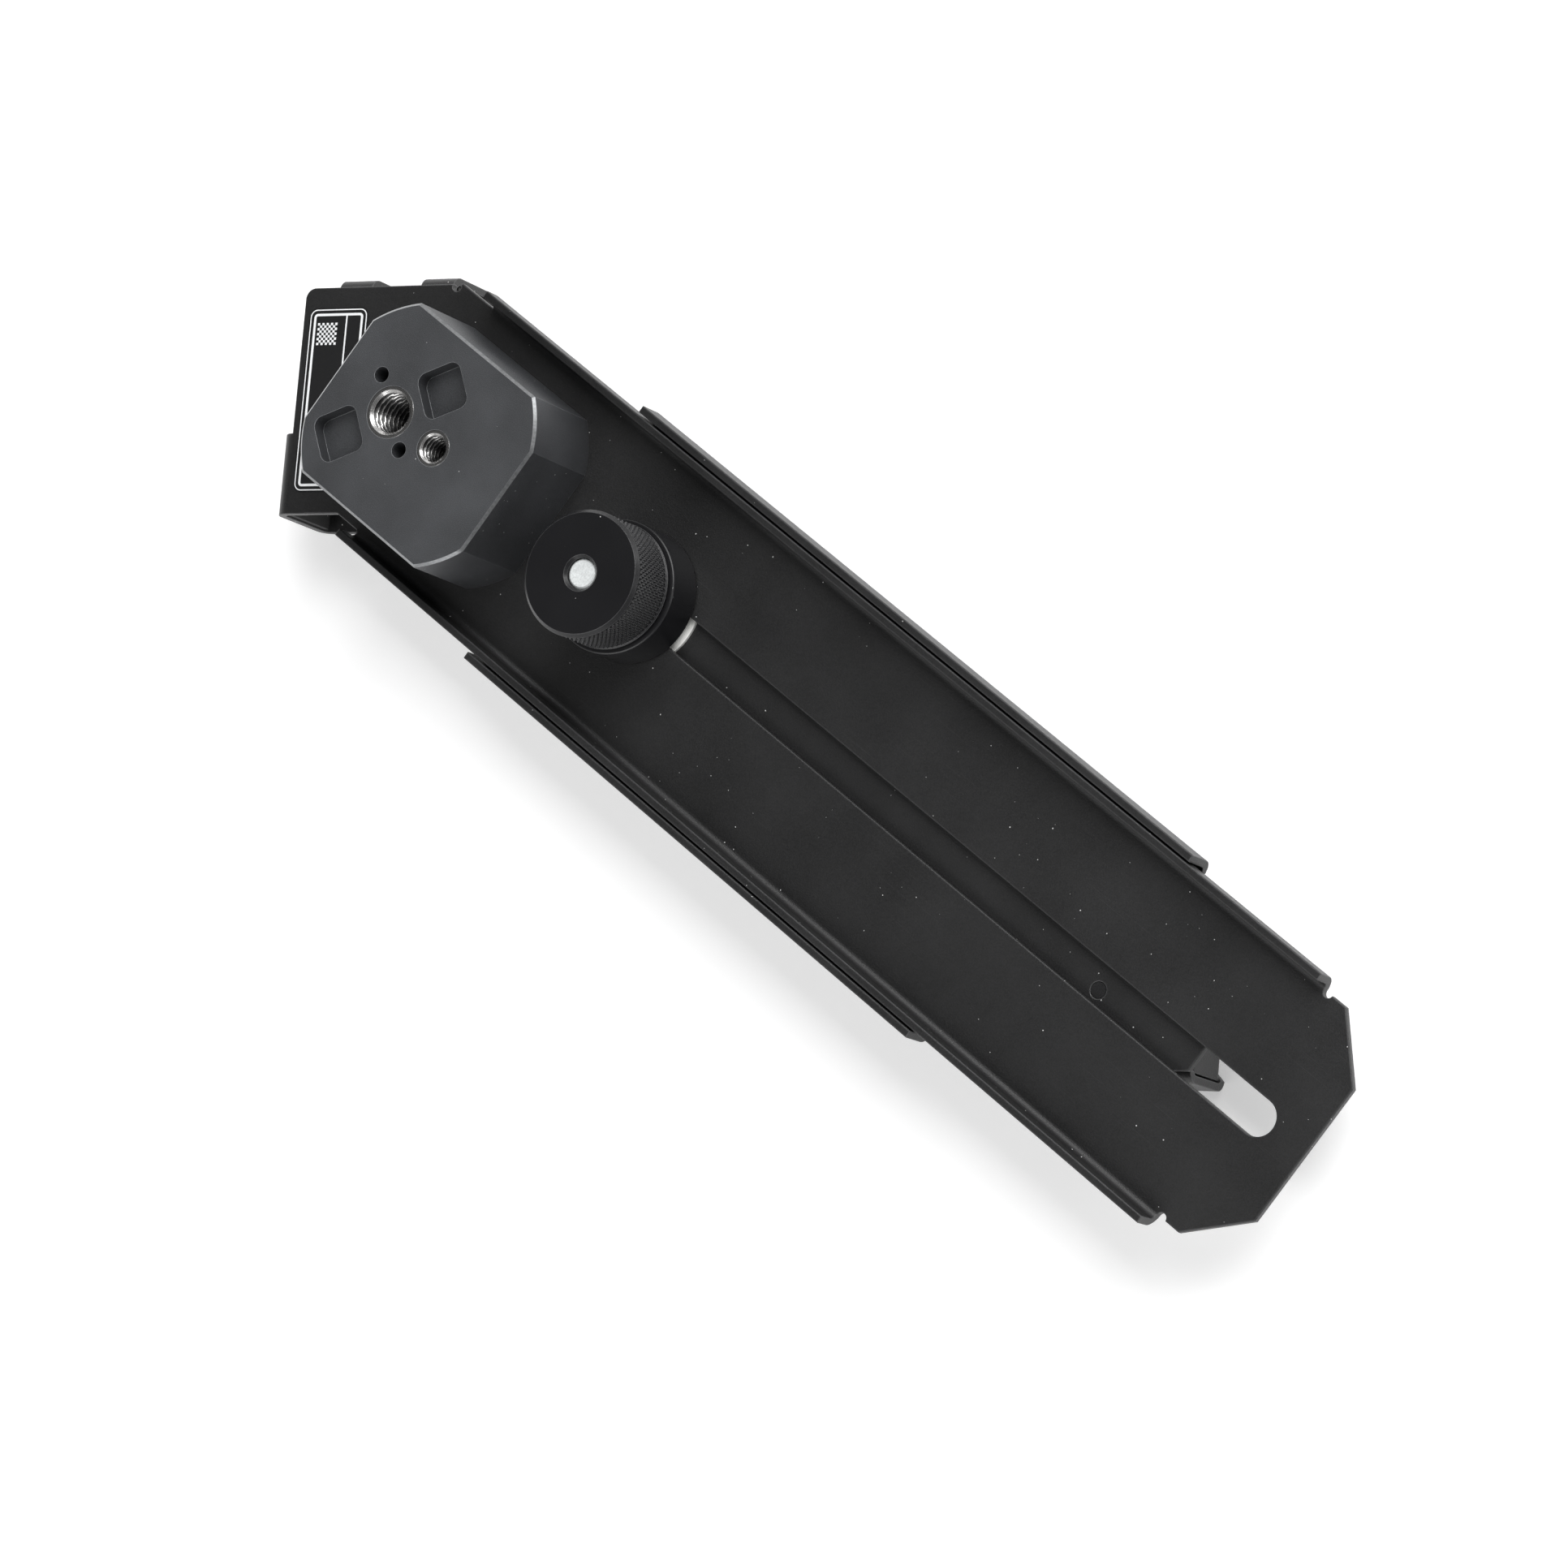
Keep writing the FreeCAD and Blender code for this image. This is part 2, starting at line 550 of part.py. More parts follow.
def make_liner(name, corner, turn, long_edge, along, width, stand, z, drop):
    """A flat rubber strip on a hook's inner face, between its two bends."""
    reach = f"({stand} - sheet - liner_height)"
    half = f"({width} / 2 - liner_margin)"
    if long_edge:
        facing = f"{turn} + 90"
        x, y = in_head(corner, turn, f"{along} + {half}", reach)
    else:
        facing = f"{turn} + 180"
        x, y = in_head(corner, turn, f"-{reach}", f"-({along}) + {half}")
    return block(name, "liner_height", f"2 * {half}", f"{drop} - 2 * sheet - 2 * bend_radius",
                 x, y, f"{z} - ({drop}) + sheet + bend_radius", facing)


# ---- Sliding channel, with the hook plate riveted under its tip.
def make_sliding_channel():
    floor = new_body("slide_floor")
    sketch = new_sketch(floor, "XY_Plane", "outline")
    shoulder = f"{SLIDE_EDGE} - (slide_tip_x - slide_shoulder_x) / tan(head_angle)"
    outline(sketch, (
        ("slide_x", f"-{SLIDE_EDGE}"),
        (f"slide_tip_x - ({SLIDE_EDGE} - slide_tip_low) / tan(head_angle)", f"-{SLIDE_EDGE}"),
        ("slide_tip_x", "-slide_tip_low"),
        ("slide_tip_x", shoulder),
        ("slide_shoulder_x", SLIDE_EDGE),
        ("slide_x", SLIDE_EDGE),
    ))
    pad(floor, sketch, "sheet")
    dress(floor, "Fillet", "edge_break", lambda edge: level(edge, 0) or level(edge, sizes.sheet))
    holes = new_sketch(floor, "XY_Plane", "holes")
    circle(holes, "stud_x", "0", "stud_radius + running_gap")
    for x, y in RIVET_PLACES:
        circle(holes, *in_head(SLIDE_CORNER, SLIDE_TURN, x, y), "rivet_radius + running_gap")
    pocket(floor, holes)
    place(floor, "0", "0", f"{SLIDE_FLOOR} - sheet")
    rise = "flange_rise + sheet + plate_gap"
    upper = flange("slide_upper_flange", 1, "slide_x", "slide_upper_end_x", SLIDE_HALF, SLIDE_FLOOR, rise)
    lower = flange("slide_lower_flange", -1, "slide_x", "slide_lower_end_x", SLIDE_HALF, SLIDE_FLOOR, rise)
    return fuse("sliding_channel", [floor, upper, lower])


def make_hook_plate():
    plate = new_body("hook_plate_flat")
    sketch = new_sketch(plate, "XY_Plane", "outline")
    outline(sketch, (("hook_setback", "0"), ("hook_setback", "-hook_plate_side"),
                     ("hook_plate_length - 8", "-hook_plate_side + 2"),
                     ("hook_plate_length", "-hook_plate_tail"), ("hook_plate_length", "0")))
    pad(plate, sketch, "sheet")
    holes = new_sketch(plate, "XY_Plane", "rivets")
    for x, y in RIVET_PLACES:
        circle(holes, x, y, "rivet_radius + running_gap")
    pocket(plate, holes)
    place(plate, "hook_tip_x", "hook_tip_y", f"{HOOK_PLATE} - sheet", SLIDE_TURN)
    pieces = {name: hook(f"slide_hook_{name}", SLIDE_CORNERS[name], SLIDE_TURN, *layout, HOOK_PLATE, SLIDE_DROP)
              for name, *layout in SLIDE_HOOKS}

    # The wide and the first small hook meet at the plate's corner, so both are mitred there.
    size = "3 * wide_hook"
    bottom = f"{HOOK_PLATE} - hook_drop"
    for name, gap, turn in (("near", "-mitre_gap / 2", f"{SLIDE_TURN} - 135"),
                            ("wide", "mitre_gap / 2", f"{SLIDE_TURN} + 45")):
        x, y = in_head(SLIDE_CORNER, SLIDE_TURN, MITRE_START[name], f"{gap} - ({MITRE_START[name]})")
        tool = block(f"mitre_{name}", size, size, "2 * hook_drop", x, y, bottom, turn)
        pieces[name] = cut(f"mitred_{name}", pieces[name], tool)
    return fuse("hook_plate", [plate, *pieces.values()])


def make_rivets():
    head = "-sheet - rivet_head_height"
    corners = (("0", head), ("rivet_head_radius", head), ("rivet_head_radius", "-sheet"),
               ("rivet_radius", "-sheet"), ("rivet_radius", "sheet"), ("0", "sheet"))
    rivets = []
    for index, (x, y) in enumerate(RIVET_PLACES):
        rivets.append(turned(f"rivet_{index}", corners, *in_head(SLIDE_CORNER, SLIDE_TURN, x, y), HOOK_PLATE))
    return group("hook_plate_rivets", rivets)


def make_strip(name, side):
    return block(name, "strip_length", "strip_width", "strip_height",
                 "slide_x + strip_inset", f"{side} strip_y - strip_width / 2", SLIDE_FLOOR)


# ---- Clamp: stud, bush and washer ride with the sliding channel, the collar lifts and the knob turns.
def make_stud():
    back = "-sheet - stud_head_height"
    top = "sheet + plate_gap + collar_height + knob_height + 2 * rest_gap - stud_sink"
    corners = (("0", back), ("stud_head_radius", back), ("stud_head_radius", "-sheet"),
               ("stud_radius", "-sheet"), ("stud_radius", f"{top} - 0.5"), ("stud_radius - 0.5", top), ("0", top))
    return turned("clamp_stud", corners, "stud_x", "0", SLIDE_FLOOR)


def ring(name, bore, radius, low, high, z):
    return turned(name, ((bore, low), (radius, low), (radius, high), (bore, high)), "stud_x", "0", z)


def make_collar():
    bore = "collar_bore"
    top = "collar_height"
    neck = f"{top} + neck_height"
    corners = ((bore, "0"), ("collar_radius - knob_chamfer / 2", "0"), ("collar_radius", "knob_chamfer / 2"),
               ("collar_radius", f"{top} - knob_chamfer"), ("collar_radius - knob_chamfer", top),
               ("neck_radius", top), ("neck_radius", neck), (bore, neck))
    return turned("clamp_collar", corners, "stud_x", "0", f"{FLOOR} + rest_gap")


def make_knob():
    bore = "stud_radius + running_gap"
    nest = "neck_radius + running_gap"
    roof = "neck_height + rest_gap"
    corners = (
        (nest, "0"), ("knob_radius - knob_chamfer", "0"), ("knob_radius", "knob_chamfer"),
        ("knob_radius", "knob_height - knob_chamfer"), ("knob_radius - knob_chamfer", "knob_height"),
        ("knob_mouth", "knob_height"), (bore, f"knob_height - (knob_mouth - {bore})"), (bore, roof), (nest, roof))
    return turned("clamp_knob", corners, "stud_x", "0", f"{FLOOR} + 2 * rest_gap + collar_height")


parts = [make_main_channel(), make_block()]
parts.append(make_insert("thread_insert_large", "0", "large_thread_radius", "large_insert_radius",
                         "large_thread_depth"))
parts.append(make_insert("thread_insert_small", "small_thread_x", "small_thread_radius",
                         "small_insert_radius", "small_thread_depth"))
parts.append(make_screws())
parts.append(make_label())
parts.append(make_pad("main_head_pad", MAIN_CORNER, MAIN_TURN, "pad_inset", "main_pad_length", "main_pad_side",
                      f"{FLOOR} - sheet"))
for liner_name, *liner_layout in MAIN_HOOKS:
    parts.append(make_liner(f"main_hook_liner_{liner_name}", MAIN_CORNER, MAIN_TURN, *liner_layout,
                            FLOOR, "hook_drop"))
parts.append(make_sliding_channel())
parts.append(make_hook_plate())
parts.append(make_rivets())
parts.append(make_pad("hook_plate_pad", SLIDE_CORNER, SLIDE_TURN, "slide_pad_inset", "slide_pad_length",
                      "slide_pad_side", f"{HOOK_PLATE} - sheet"))
for liner_name, *liner_layout in SLIDE_LINERS:
    parts.append(make_liner(f"slide_hook_liner_{liner_name}", SLIDE_CORNERS[liner_name], SLIDE_TURN,
                            *liner_layout, HOOK_PLATE, SLIDE_DROP))
parts.append(make_strip("glide_strip_upper", "+"))
parts.append(make_strip("glide_strip_lower", "-"))
parts.append(make_stud())
parts.append(ring("slot_bush", "stud_radius", "slot_width / 2 - rest_gap", "plate_gap", "plate_gap + sheet - rest_gap",
                  SLIDE_FLOOR))
parts.append(ring("slide_washer", "stud_radius", "washer_radius", "0", "plate_gap - rest_gap", SLIDE_FLOOR))
parts.append(make_collar())
parts.append(make_knob())

doc.recompute()
for item in doc.Objects:
    if "Invalid" in item.State or "Error" in item.State:
        raise RuntimeError(f"{item.Name} failed: {item.State}")

os.makedirs("parts", exist_ok=True)
for item in parts:
    shape = item.Shape
    if shape.isNull() or not shape.isValid():
        raise RuntimeError(f"{item.Label} has no valid shape")
    shape.exportStep(f"parts/{item.Label}.step")
    print(f"{item.Label}: {len(shape.Solids)} solid(s), {shape.Volume:.1f} mm3")
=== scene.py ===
"""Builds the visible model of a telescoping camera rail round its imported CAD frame.

The bent sheets, the pads, the liners, the nylon parts and the label film keep their CAD
shapes and get their finishes here. The thread block is a copy of its CAD shape with a bright
chamfer. The knob, the collar, the threaded bushes, the stud, the screws, the rivets and the
label's printing are modelled here in full. Lengths are in metres.
"""

import json
import logging
import math
from collections.abc import Callable, Iterator, Sequence
from contextlib import contextmanager
from dataclasses import dataclass, field
from enum import Enum

import bpy
from mathutils import Euler, Matrix, Vector


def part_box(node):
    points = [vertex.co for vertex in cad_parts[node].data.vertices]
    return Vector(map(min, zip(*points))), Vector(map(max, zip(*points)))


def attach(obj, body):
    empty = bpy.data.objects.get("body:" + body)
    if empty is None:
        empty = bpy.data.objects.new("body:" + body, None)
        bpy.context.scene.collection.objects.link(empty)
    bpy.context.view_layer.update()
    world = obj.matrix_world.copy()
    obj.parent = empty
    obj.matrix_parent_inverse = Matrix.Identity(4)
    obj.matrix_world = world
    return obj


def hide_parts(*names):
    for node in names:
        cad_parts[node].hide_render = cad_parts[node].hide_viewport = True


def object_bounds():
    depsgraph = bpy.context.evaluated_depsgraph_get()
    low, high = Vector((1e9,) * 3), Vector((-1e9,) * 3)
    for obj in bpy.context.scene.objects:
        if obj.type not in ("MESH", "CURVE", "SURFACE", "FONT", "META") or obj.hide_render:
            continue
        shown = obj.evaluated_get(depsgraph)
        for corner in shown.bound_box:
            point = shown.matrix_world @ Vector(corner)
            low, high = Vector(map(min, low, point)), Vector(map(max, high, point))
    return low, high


MM = 0.001
FULL_TURN = 2 * math.pi
TOUCHING = 0.5e-6
SMOOTH_BELOW = math.radians(24)

# A thread's flank: how steep it is, where it starts, and the turns over which it runs out.
FLANK_STEEPNESS = 1.35
FLANK_OFFSET = 0.175
RUN_OUT_TURNS = 0.6

Colour = tuple[float, float, float]
Profile = Sequence[tuple[float, float]]

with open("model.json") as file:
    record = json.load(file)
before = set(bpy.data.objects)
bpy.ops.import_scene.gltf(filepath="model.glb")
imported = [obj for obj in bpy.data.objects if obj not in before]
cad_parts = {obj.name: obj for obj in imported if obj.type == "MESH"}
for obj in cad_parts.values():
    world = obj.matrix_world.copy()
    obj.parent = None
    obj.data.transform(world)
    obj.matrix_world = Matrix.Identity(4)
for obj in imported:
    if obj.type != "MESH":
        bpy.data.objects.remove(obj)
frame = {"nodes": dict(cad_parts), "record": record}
CAD_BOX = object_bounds()
log = logging.getLogger("rail")


# ---------------------------------------------------------------------------------------
# Modelling by hand
# ---------------------------------------------------------------------------------------


def alone(piece: bpy.types.Object) -> None:
    """Selects one object, makes it active, and leaves nothing else selected.

    Args:
        piece: the object to work on.
    """
    bpy.ops.object.select_all(action="DESELECT")
    bpy.context.view_layer.objects.active = piece
    piece.select_set(True)


@contextmanager
def editing(piece: bpy.types.Object, elements: str = "FACE") -> Iterator[None]:
    """Opens edit mode on one object and closes it again.

    Args:
        piece: the object to edit.
        elements: what is selected, VERT, EDGE or FACE.

    Yields:
        Nothing, once, while edit mode is open.
    """
    alone(piece)
    bpy.ops.object.mode_set(mode="EDIT")
    bpy.ops.mesh.select_mode(type=elements)
    yield
    bpy.ops.object.mode_set(mode="OBJECT")


def pick_corners(piece: bpy.types.Object, wanted: Callable[[Vector], bool]) -> None:
    """Selects the vertices whose place passes a test, and nothing else.

    Args:
        piece: the object, in object mode.
        wanted: says of a vertex's place whether it is selected.
    """
    for part in (*piece.data.polygons, *piece.data.edges):
        part.select = False
    for corner in piece.data.vertices:
        corner.select = wanted(corner.co)


def pick_faces(
    piece: bpy.types.Object, wanted: Callable[[bpy.types.MeshPolygon], bool]
) -> None:
    """Selects the faces that pass a test, and nothing else.

    Args:
        piece: the object, in object mode.
        wanted: says of a face whether it is selected.
    """
    for part in (*piece.data.vertices, *piece.data.edges):
        part.select = False
    for face in piece.data.polygons:
        face.select = wanted(face)


def apply_modifier(piece: bpy.types.Object, kind: str, **settings: object) -> None:
    """Adds a modifier to an object, sets it and applies it.

    Args:
        piece: the object.
        kind: the modifier's type.
        settings: the modifier's properties by name.
    """
    alone(piece)
    modifier = piece.modifiers.new(kind.lower(), kind)
    for setting, value in settings.items():
        setattr(modifier, setting, value)
    bpy.ops.object.modifier_apply(modifier=modifier.name)


def smooth(piece: bpy.types.Object) -> None:
    """Shades an object smooth, apart from its sharp edges.

    Args:
        piece: the object.
    """
    alone(piece)
    bpy.ops.object.shade_smooth_by_angle(angle=SMOOTH_BELOW)


def shift(piece: bpy.types.Object, x: float, y: float, z: float = 0.0) -> None:
    """Moves an object's mesh and leaves the object at the origin.

    Args:
        piece: the object.
        x: the way along the slot.
        y: the way across the channel.
        z: the way up.
    """
    piece.data.transform(Matrix.Translation((x, y, z)))


def turned(name: str, profile: Profile, sides: int) -> bpy.types.Object:
    """Turns a closed profile about the Z axis, as on a lathe.

    Args:
        name: the new object's name.
        profile: corners as radius and height, in order round the section.
        sides: the number of flats round the axis.

    Returns:
        The turned object.
    """
    bpy.ops.object.select_all(action="DESELECT")
    bpy.ops.mesh.primitive_circle_add(vertices=len(profile))
    piece = bpy.context.object
    piece.name = piece.data.name = name
    for corner, (radius, height) in zip(piece.data.vertices, profile):
        corner.co = (radius, 0.0, height)
    with editing(piece, "VERT"):
        bpy.ops.mesh.select_all(action="SELECT")
        bpy.ops.mesh.spin(
            steps=sides, angle=FULL_TURN, center=(0, 0, 0), axis=(0, 0, 1)
        )
        bpy.ops.mesh.select_all(action="SELECT")
        bpy.ops.mesh.remove_doubles(threshold=TOUCHING)
        bpy.ops.mesh.delete_loose()
        bpy.ops.mesh.select_all(action="SELECT")
        bpy.ops.mesh.normals_make_consistent(inside=False)
    return piece


def rows(low: float, high: float, count: int) -> list[float]:
    """Returns evenly spaced values from low to high, both ends with them."""
    return [low + (high - low) * step / count for step in range(count + 1)]


def cut_thread(
    piece: bpy.types.Object,
    radius: float,
    depth: float,
    pitch: float,
    low: float,
    high: float,
) -> None:
    """Moves the rings of a plain bore or shaft into a right-hand thread.

    Args:
        piece: the object, with its axis on the Z axis.
        radius: the plain wall's radius.
        depth: how far the wall moves outwards, or inwards if it is negative.
        pitch: the rise in one turn.
        low: the lower end of the thread.
        high: the upper end of the thread.
    """
    for corner in piece.data.vertices:
        out = math.hypot(corner.co.x, corner.co.y)
        if abs(out - radius) > TOUCHING or not low <= corner.co.z <= high:
            continue
        turn = math.atan2(corner.co.y, corner.co.x) / FULL_TURN
        phase = (corner.co.z / pitch - turn) % 1.0
        flank = FLANK_STEEPNESS * (1 - abs(2 * phase - 1)) - FLANK_OFFSET
        run_out = min(high - corner.co.z, corner.co.z - low) / (RUN_OUT_TURNS * pitch)
        moved = out + depth * max(0.0, min(1.0, flank)) * min(1.0, run_out)
        corner.co.x *= moved / out
        corner.co.y *= moved / out


def two_slots(piece: bpy.types.Object) -> None:
    """Gives a piece two empty material slots, so that its faces can take the second."""
    for _ in range(2):
        piece.data.materials.append(None)


def merged_copy(node: str) -> bpy.types.Object:
    """Copies a CAD shape and joins its loose triangles.

    Args:
        node: the CAD node.

    Returns:
        The copy, with two empty material slots.
    """
    piece = bpy.data.objects.new(f"{node}_finished", frame["nodes"][node].data.copy())
    bpy.context.scene.collection.objects.link(piece)
    piece.data.materials.clear()
    alone(piece)
    bpy.ops.mesh.customdata_custom_splitnormals_clear()
    with editing(piece):
        bpy.ops.mesh.select_all(action="SELECT")
        bpy.ops.mesh.remove_doubles(threshold=TOUCHING)
    two_slots(piece)
    smooth(piece)
    return piece


def solids_of(node: str) -> list[tuple[Vector, Vector]]:
    """Finds the separate solids of a CAD node that holds several.

    Args:
        node: the CAD node.

    Returns:
        The lowest and highest corner of each solid.
    """
    whole = bpy.data.objects.new("solids", frame["nodes"][node].data.copy())
    bpy.context.scene.collection.objects.link(whole)
    with editing(whole):
        bpy.ops.mesh.select_all(action="SELECT")
        bpy.ops.mesh.remove_doubles(threshold=TOUCHING)
        bpy.ops.mesh.separate(type="LOOSE")
    boxes = []
    for solid in list(bpy.context.selected_objects):
        places = [corner.co for corner in solid.data.vertices]
        boxes.append(
            (
                Vector(min(p[axis] for p in places) for axis in range(3)),
                Vector(max(p[axis] for p in places) for axis in range(3)),
            )
        )
        bpy.data.objects.remove(solid)
    return boxes


def fit(
    piece: bpy.types.Object,
    body: str,
    slot: str,
    *nodes: str,
    finishes: Sequence[bpy.types.Material] = (),
) -> None:
    """Gives a finished piece its materials and its body, and hides the CAD nodes that it
    stands for.

    Args:
        piece: the piece.
        body: the body that it moves with.
        slot: the record's material slot; not used.
        nodes: the CAD nodes that it stands for.
        finishes: its materials, in slot order.
    """
    for index, finish in enumerate(finishes):
        if index < len(piece.data.materials):
            piece.data.materials[index] = finish
        else:
            piece.data.materials.append(finish)
    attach(piece, body)
    if nodes:
        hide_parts(*nodes)
    log.info("%s: %d faces", piece.name, len(piece.data.polygons))


def dress(node: str, finish: bpy.types.Material) -> None:
    """Gives a CAD node that stays in view its material.

    Args:
        node: the CAD node.
        finish: its material.
    """
    piece = frame["nodes"][node]
    if not piece.material_slots:
        piece.data.materials.append(finish)
    for place in piece.material_slots:
        place.material = finish
    log.info("%s: dressed", node)


# ---------------------------------------------------------------------------------------
# Finishes
# ---------------------------------------------------------------------------------------


GRAIN_RANGE = (0.3, 0.7)
GRAIN_SHARE = 0.6
PATCHES_PER_METRE = 60.0
SPECK_REACH = 0.11
RUB_STRETCH = (40.0, 9000.0, 900.0)
RUB_THRESHOLD = (0.7, 0.76)
RUB_PATCHES_PER_METRE = 45.0
RUB_PATCH_THRESHOLD = (0.45, 0.7)
RINGS_PER_SCALE = 0.314
ROUGHNESS_SWING = 0.1
EDGE_TURN = (0.995, 0.9)
EDGE_SAMPLES = 6
DUST_COLOUR: Colour = (0.55, 0.55, 0.55)


class Lay(Enum):
    """The fine marks that the last tool left."""

    NONE = "none"
    TURNED = "turned"


def new_group(
    name: str, inputs: dict[str, float], outputs: Sequence[str]
) -> bpy.types.ShaderNodeTree:
    """Starts a shader node group that reads a place and some numbers.

    Args:
        name: the group's name.
        inputs: its number inputs, with their defaults.
        outputs: its number outputs.

    Returns:
        The group, with nothing in it but its own input and output nodes.
    """
    group = bpy.data.node_groups.new(name, "ShaderNodeTree")
    group.interface.new_socket("Place", in_out="INPUT", socket_type="NodeSocketVector")
    for title, default in inputs.items():
        socket = group.interface.new_socket(
            title, in_out="INPUT", socket_type="NodeSocketFloat"
        )
        socket.default_value = default
    for title in outputs:
        group.interface.new_socket(
            title, in_out="OUTPUT", socket_type="NodeSocketFloat"
        )
    group.nodes.new("NodeGroupInput").name = "in"
    group.nodes.new("NodeGroupOutput").name = "out"
    return group


@dataclass
class Wiring:
    """Adds nodes to a tree and joins them. An input takes a number or a socket."""

    tree: bpy.types.NodeTree

    def math(self, operation: str, *values: object) -> bpy.types.NodeSocket:
        """Adds a Math node.

        Args:
            operation: its operation.
            values: a number or a socket for each input.

        Returns:
            Its output.
        """
        node = self.tree.nodes.new("ShaderNodeMath")
        node.operation = operation
        for socket, value in zip(node.inputs, values):
            self.put(value, socket)
        return node.outputs[0]

    def put(self, value: object, socket: bpy.types.NodeSocket) -> None:
        """Sets an input to a number, or joins a socket to it.

        Args:
            value: the number, colour or socket.
            socket: the input.
        """
        if isinstance(value, bpy.types.NodeSocket):
            self.tree.links.new(value, socket)
        else:
            socket.default_value = value

    def spread(
        self, value: object, low: float, high: float, start: float, end: float
    ) -> bpy.types.NodeSocket:
        """Maps a range of values onto another and holds it there.

        Args:
            value: the value to map.
            low: the value that becomes start.
            high: the value that becomes end.
            start: the first result.
            end: the last result.

        Returns:
            The mapped value.
        """
        node = self.tree.nodes.new("ShaderNodeMapRange")
        for title, given in (
            ("Value", value),
            ("From Min", low),
            ("From Max", high),
            ("To Min", start),
            ("To Max", end),
        ):
            self.put(given, node.inputs[title])
        return node.outputs[0]

    def noise(
        self, place: object, scale: object, detail: float = 2.0
    ) -> bpy.types.NodeSocket:
        """Adds a noise texture.

        Args:
            place: the place that it is read at.
            scale: its scale.
            detail: how many finer layers it has.

        Returns:
            Its value.
        """
        node = self.tree.nodes.new("ShaderNodeTexNoise")
        node.inputs["Detail"].default_value = detail
        self.put(place, node.inputs["Vector"])
        self.put(scale, node.inputs["Scale"])
        return node.outputs[0]

    def stretch(self, place: object, by: Colour) -> bpy.types.NodeSocket:
        """Scales a place along each axis.

        Args:
            place: the place.
            by: the scale along X, Y and Z.

        Returns:
            The scaled place.
        """
        node = self.tree.nodes.new("ShaderNodeMapping")
        node.inputs["Scale"].default_value = by
        self.put(place, node.inputs["Vector"])
        return node.outputs[0]

    def mix(self, share: object, first: object, second: object) -> bpy.types.NodeSocket:
        """Mixes two colours.

        Args:
            share: how much of the second colour there is, from 0 to 1.
            first: the first colour.
            second: the second colour.

        Returns:
            The mixed colour.
        """
        node = self.tree.nodes.new("ShaderNodeMix")
        node.data_type = "RGBA"
        for index, given in ((0, share), (6, first), (7, second)):
            self.put(given, node.inputs[index])
        return node.outputs[2]


def grain_group() -> bpy.types.ShaderNodeTree:
    """Makes the fine grain of a coat or a blasted skin, with its slow changes of tone.

    Returns:
        The group. Its input is the size of a grain, and its outputs are a height and a
        tone from 0 to 1.
    """
    group = new_group("skin_grain", {"Size": 0.0003}, ("Height", "Tone"))
    wire = Wiring(group)
    place = group.nodes["in"].outputs["Place"]
    scale = wire.math("DIVIDE", 1.0, group.nodes["in"].outputs["Size"])
    fine = wire.noise(place, scale, 3.0)
    slow = wire.noise(place, PATCHES_PER_METRE, 3.0)
    grains = wire.spread(fine, *GRAIN_RANGE, 0.0, 1.0)
    patches = wire.spread(slow, *GRAIN_RANGE, 0.0, 1.0)
    tone = wire.math(
        "ADD",
        wire.math("MULTIPLY", grains, GRAIN_SHARE),
        wire.math("MULTIPLY", patches, 1 - GRAIN_SHARE),
    )
    group.links.new(fine, group.nodes["out"].inputs["Height"])
    group.links.new(tone, group.nodes["out"].inputs["Tone"])
    return group


def dust_group() -> bpy.types.ShaderNodeTree:
    """Makes scattered specks of dust.

    Returns:
        The group. Its inputs are the spacing and the share of the places that have a
        speck, and its output is a mask.
    """
    group = new_group("dust_specks", {"Spacing": 0.0012, "Share": 0.1}, ("Mask",))
    wire = Wiring(group)
    cells = group.nodes.new("ShaderNodeTexVoronoi")
    wire.put(group.nodes["in"].outputs["Place"], cells.inputs["Vector"])
    wire.put(
        wire.math("DIVIDE", 1.0, group.nodes["in"].outputs["Spacing"]),
        cells.inputs["Scale"],
    )
    chance = group.nodes.new("ShaderNodeSeparateColor")
    wire.put(cells.outputs["Color"], chance.inputs[0])
    chosen = wire.math(
        "LESS_THAN", chance.outputs[0], group.nodes["in"].outputs["Share"]
    )
    reach = wire.math("MULTIPLY", chance.outputs[1], SPECK_REACH)
    near = wire.math("LESS_THAN", cells.outputs["Distance"], reach)
    group.links.new(
        wire.math("MULTIPLY", chosen, near), group.nodes["out"].inputs["Mask"]
    )
    return group


def rub_group() -> bpy.types.ShaderNodeTree:
    """Makes the fine lines that sliding along the X axis rubs into a surface.

    Returns:
        The group. Its input is how much is rubbed, from 0 to 1, and its output is a
        mask.
    """
    group = new_group("rub_lines", {"Amount": 0.2}, ("Mask",))
    wire = Wiring(group)
    place = group.nodes["in"].outputs["Place"]
    lines = wire.noise(wire.stretch(place, RUB_STRETCH), 1.0, 1.0)
    patches = wire.noise(place, RUB_PATCHES_PER_METRE)
    blend_share = wire.spread(patches, *RUB_PATCH_THRESHOLD, 0.0, 1.0)
    thin = wire.spread(lines, *RUB_THRESHOLD, 0.0, 1.0)
    rubbed = wire.math("MULTIPLY", thin, blend_share)
    group.links.new(
        wire.math("MULTIPLY", rubbed, group.nodes["in"].outputs["Amount"]),
        group.nodes["out"].inputs["Mask"],
    )
    return group


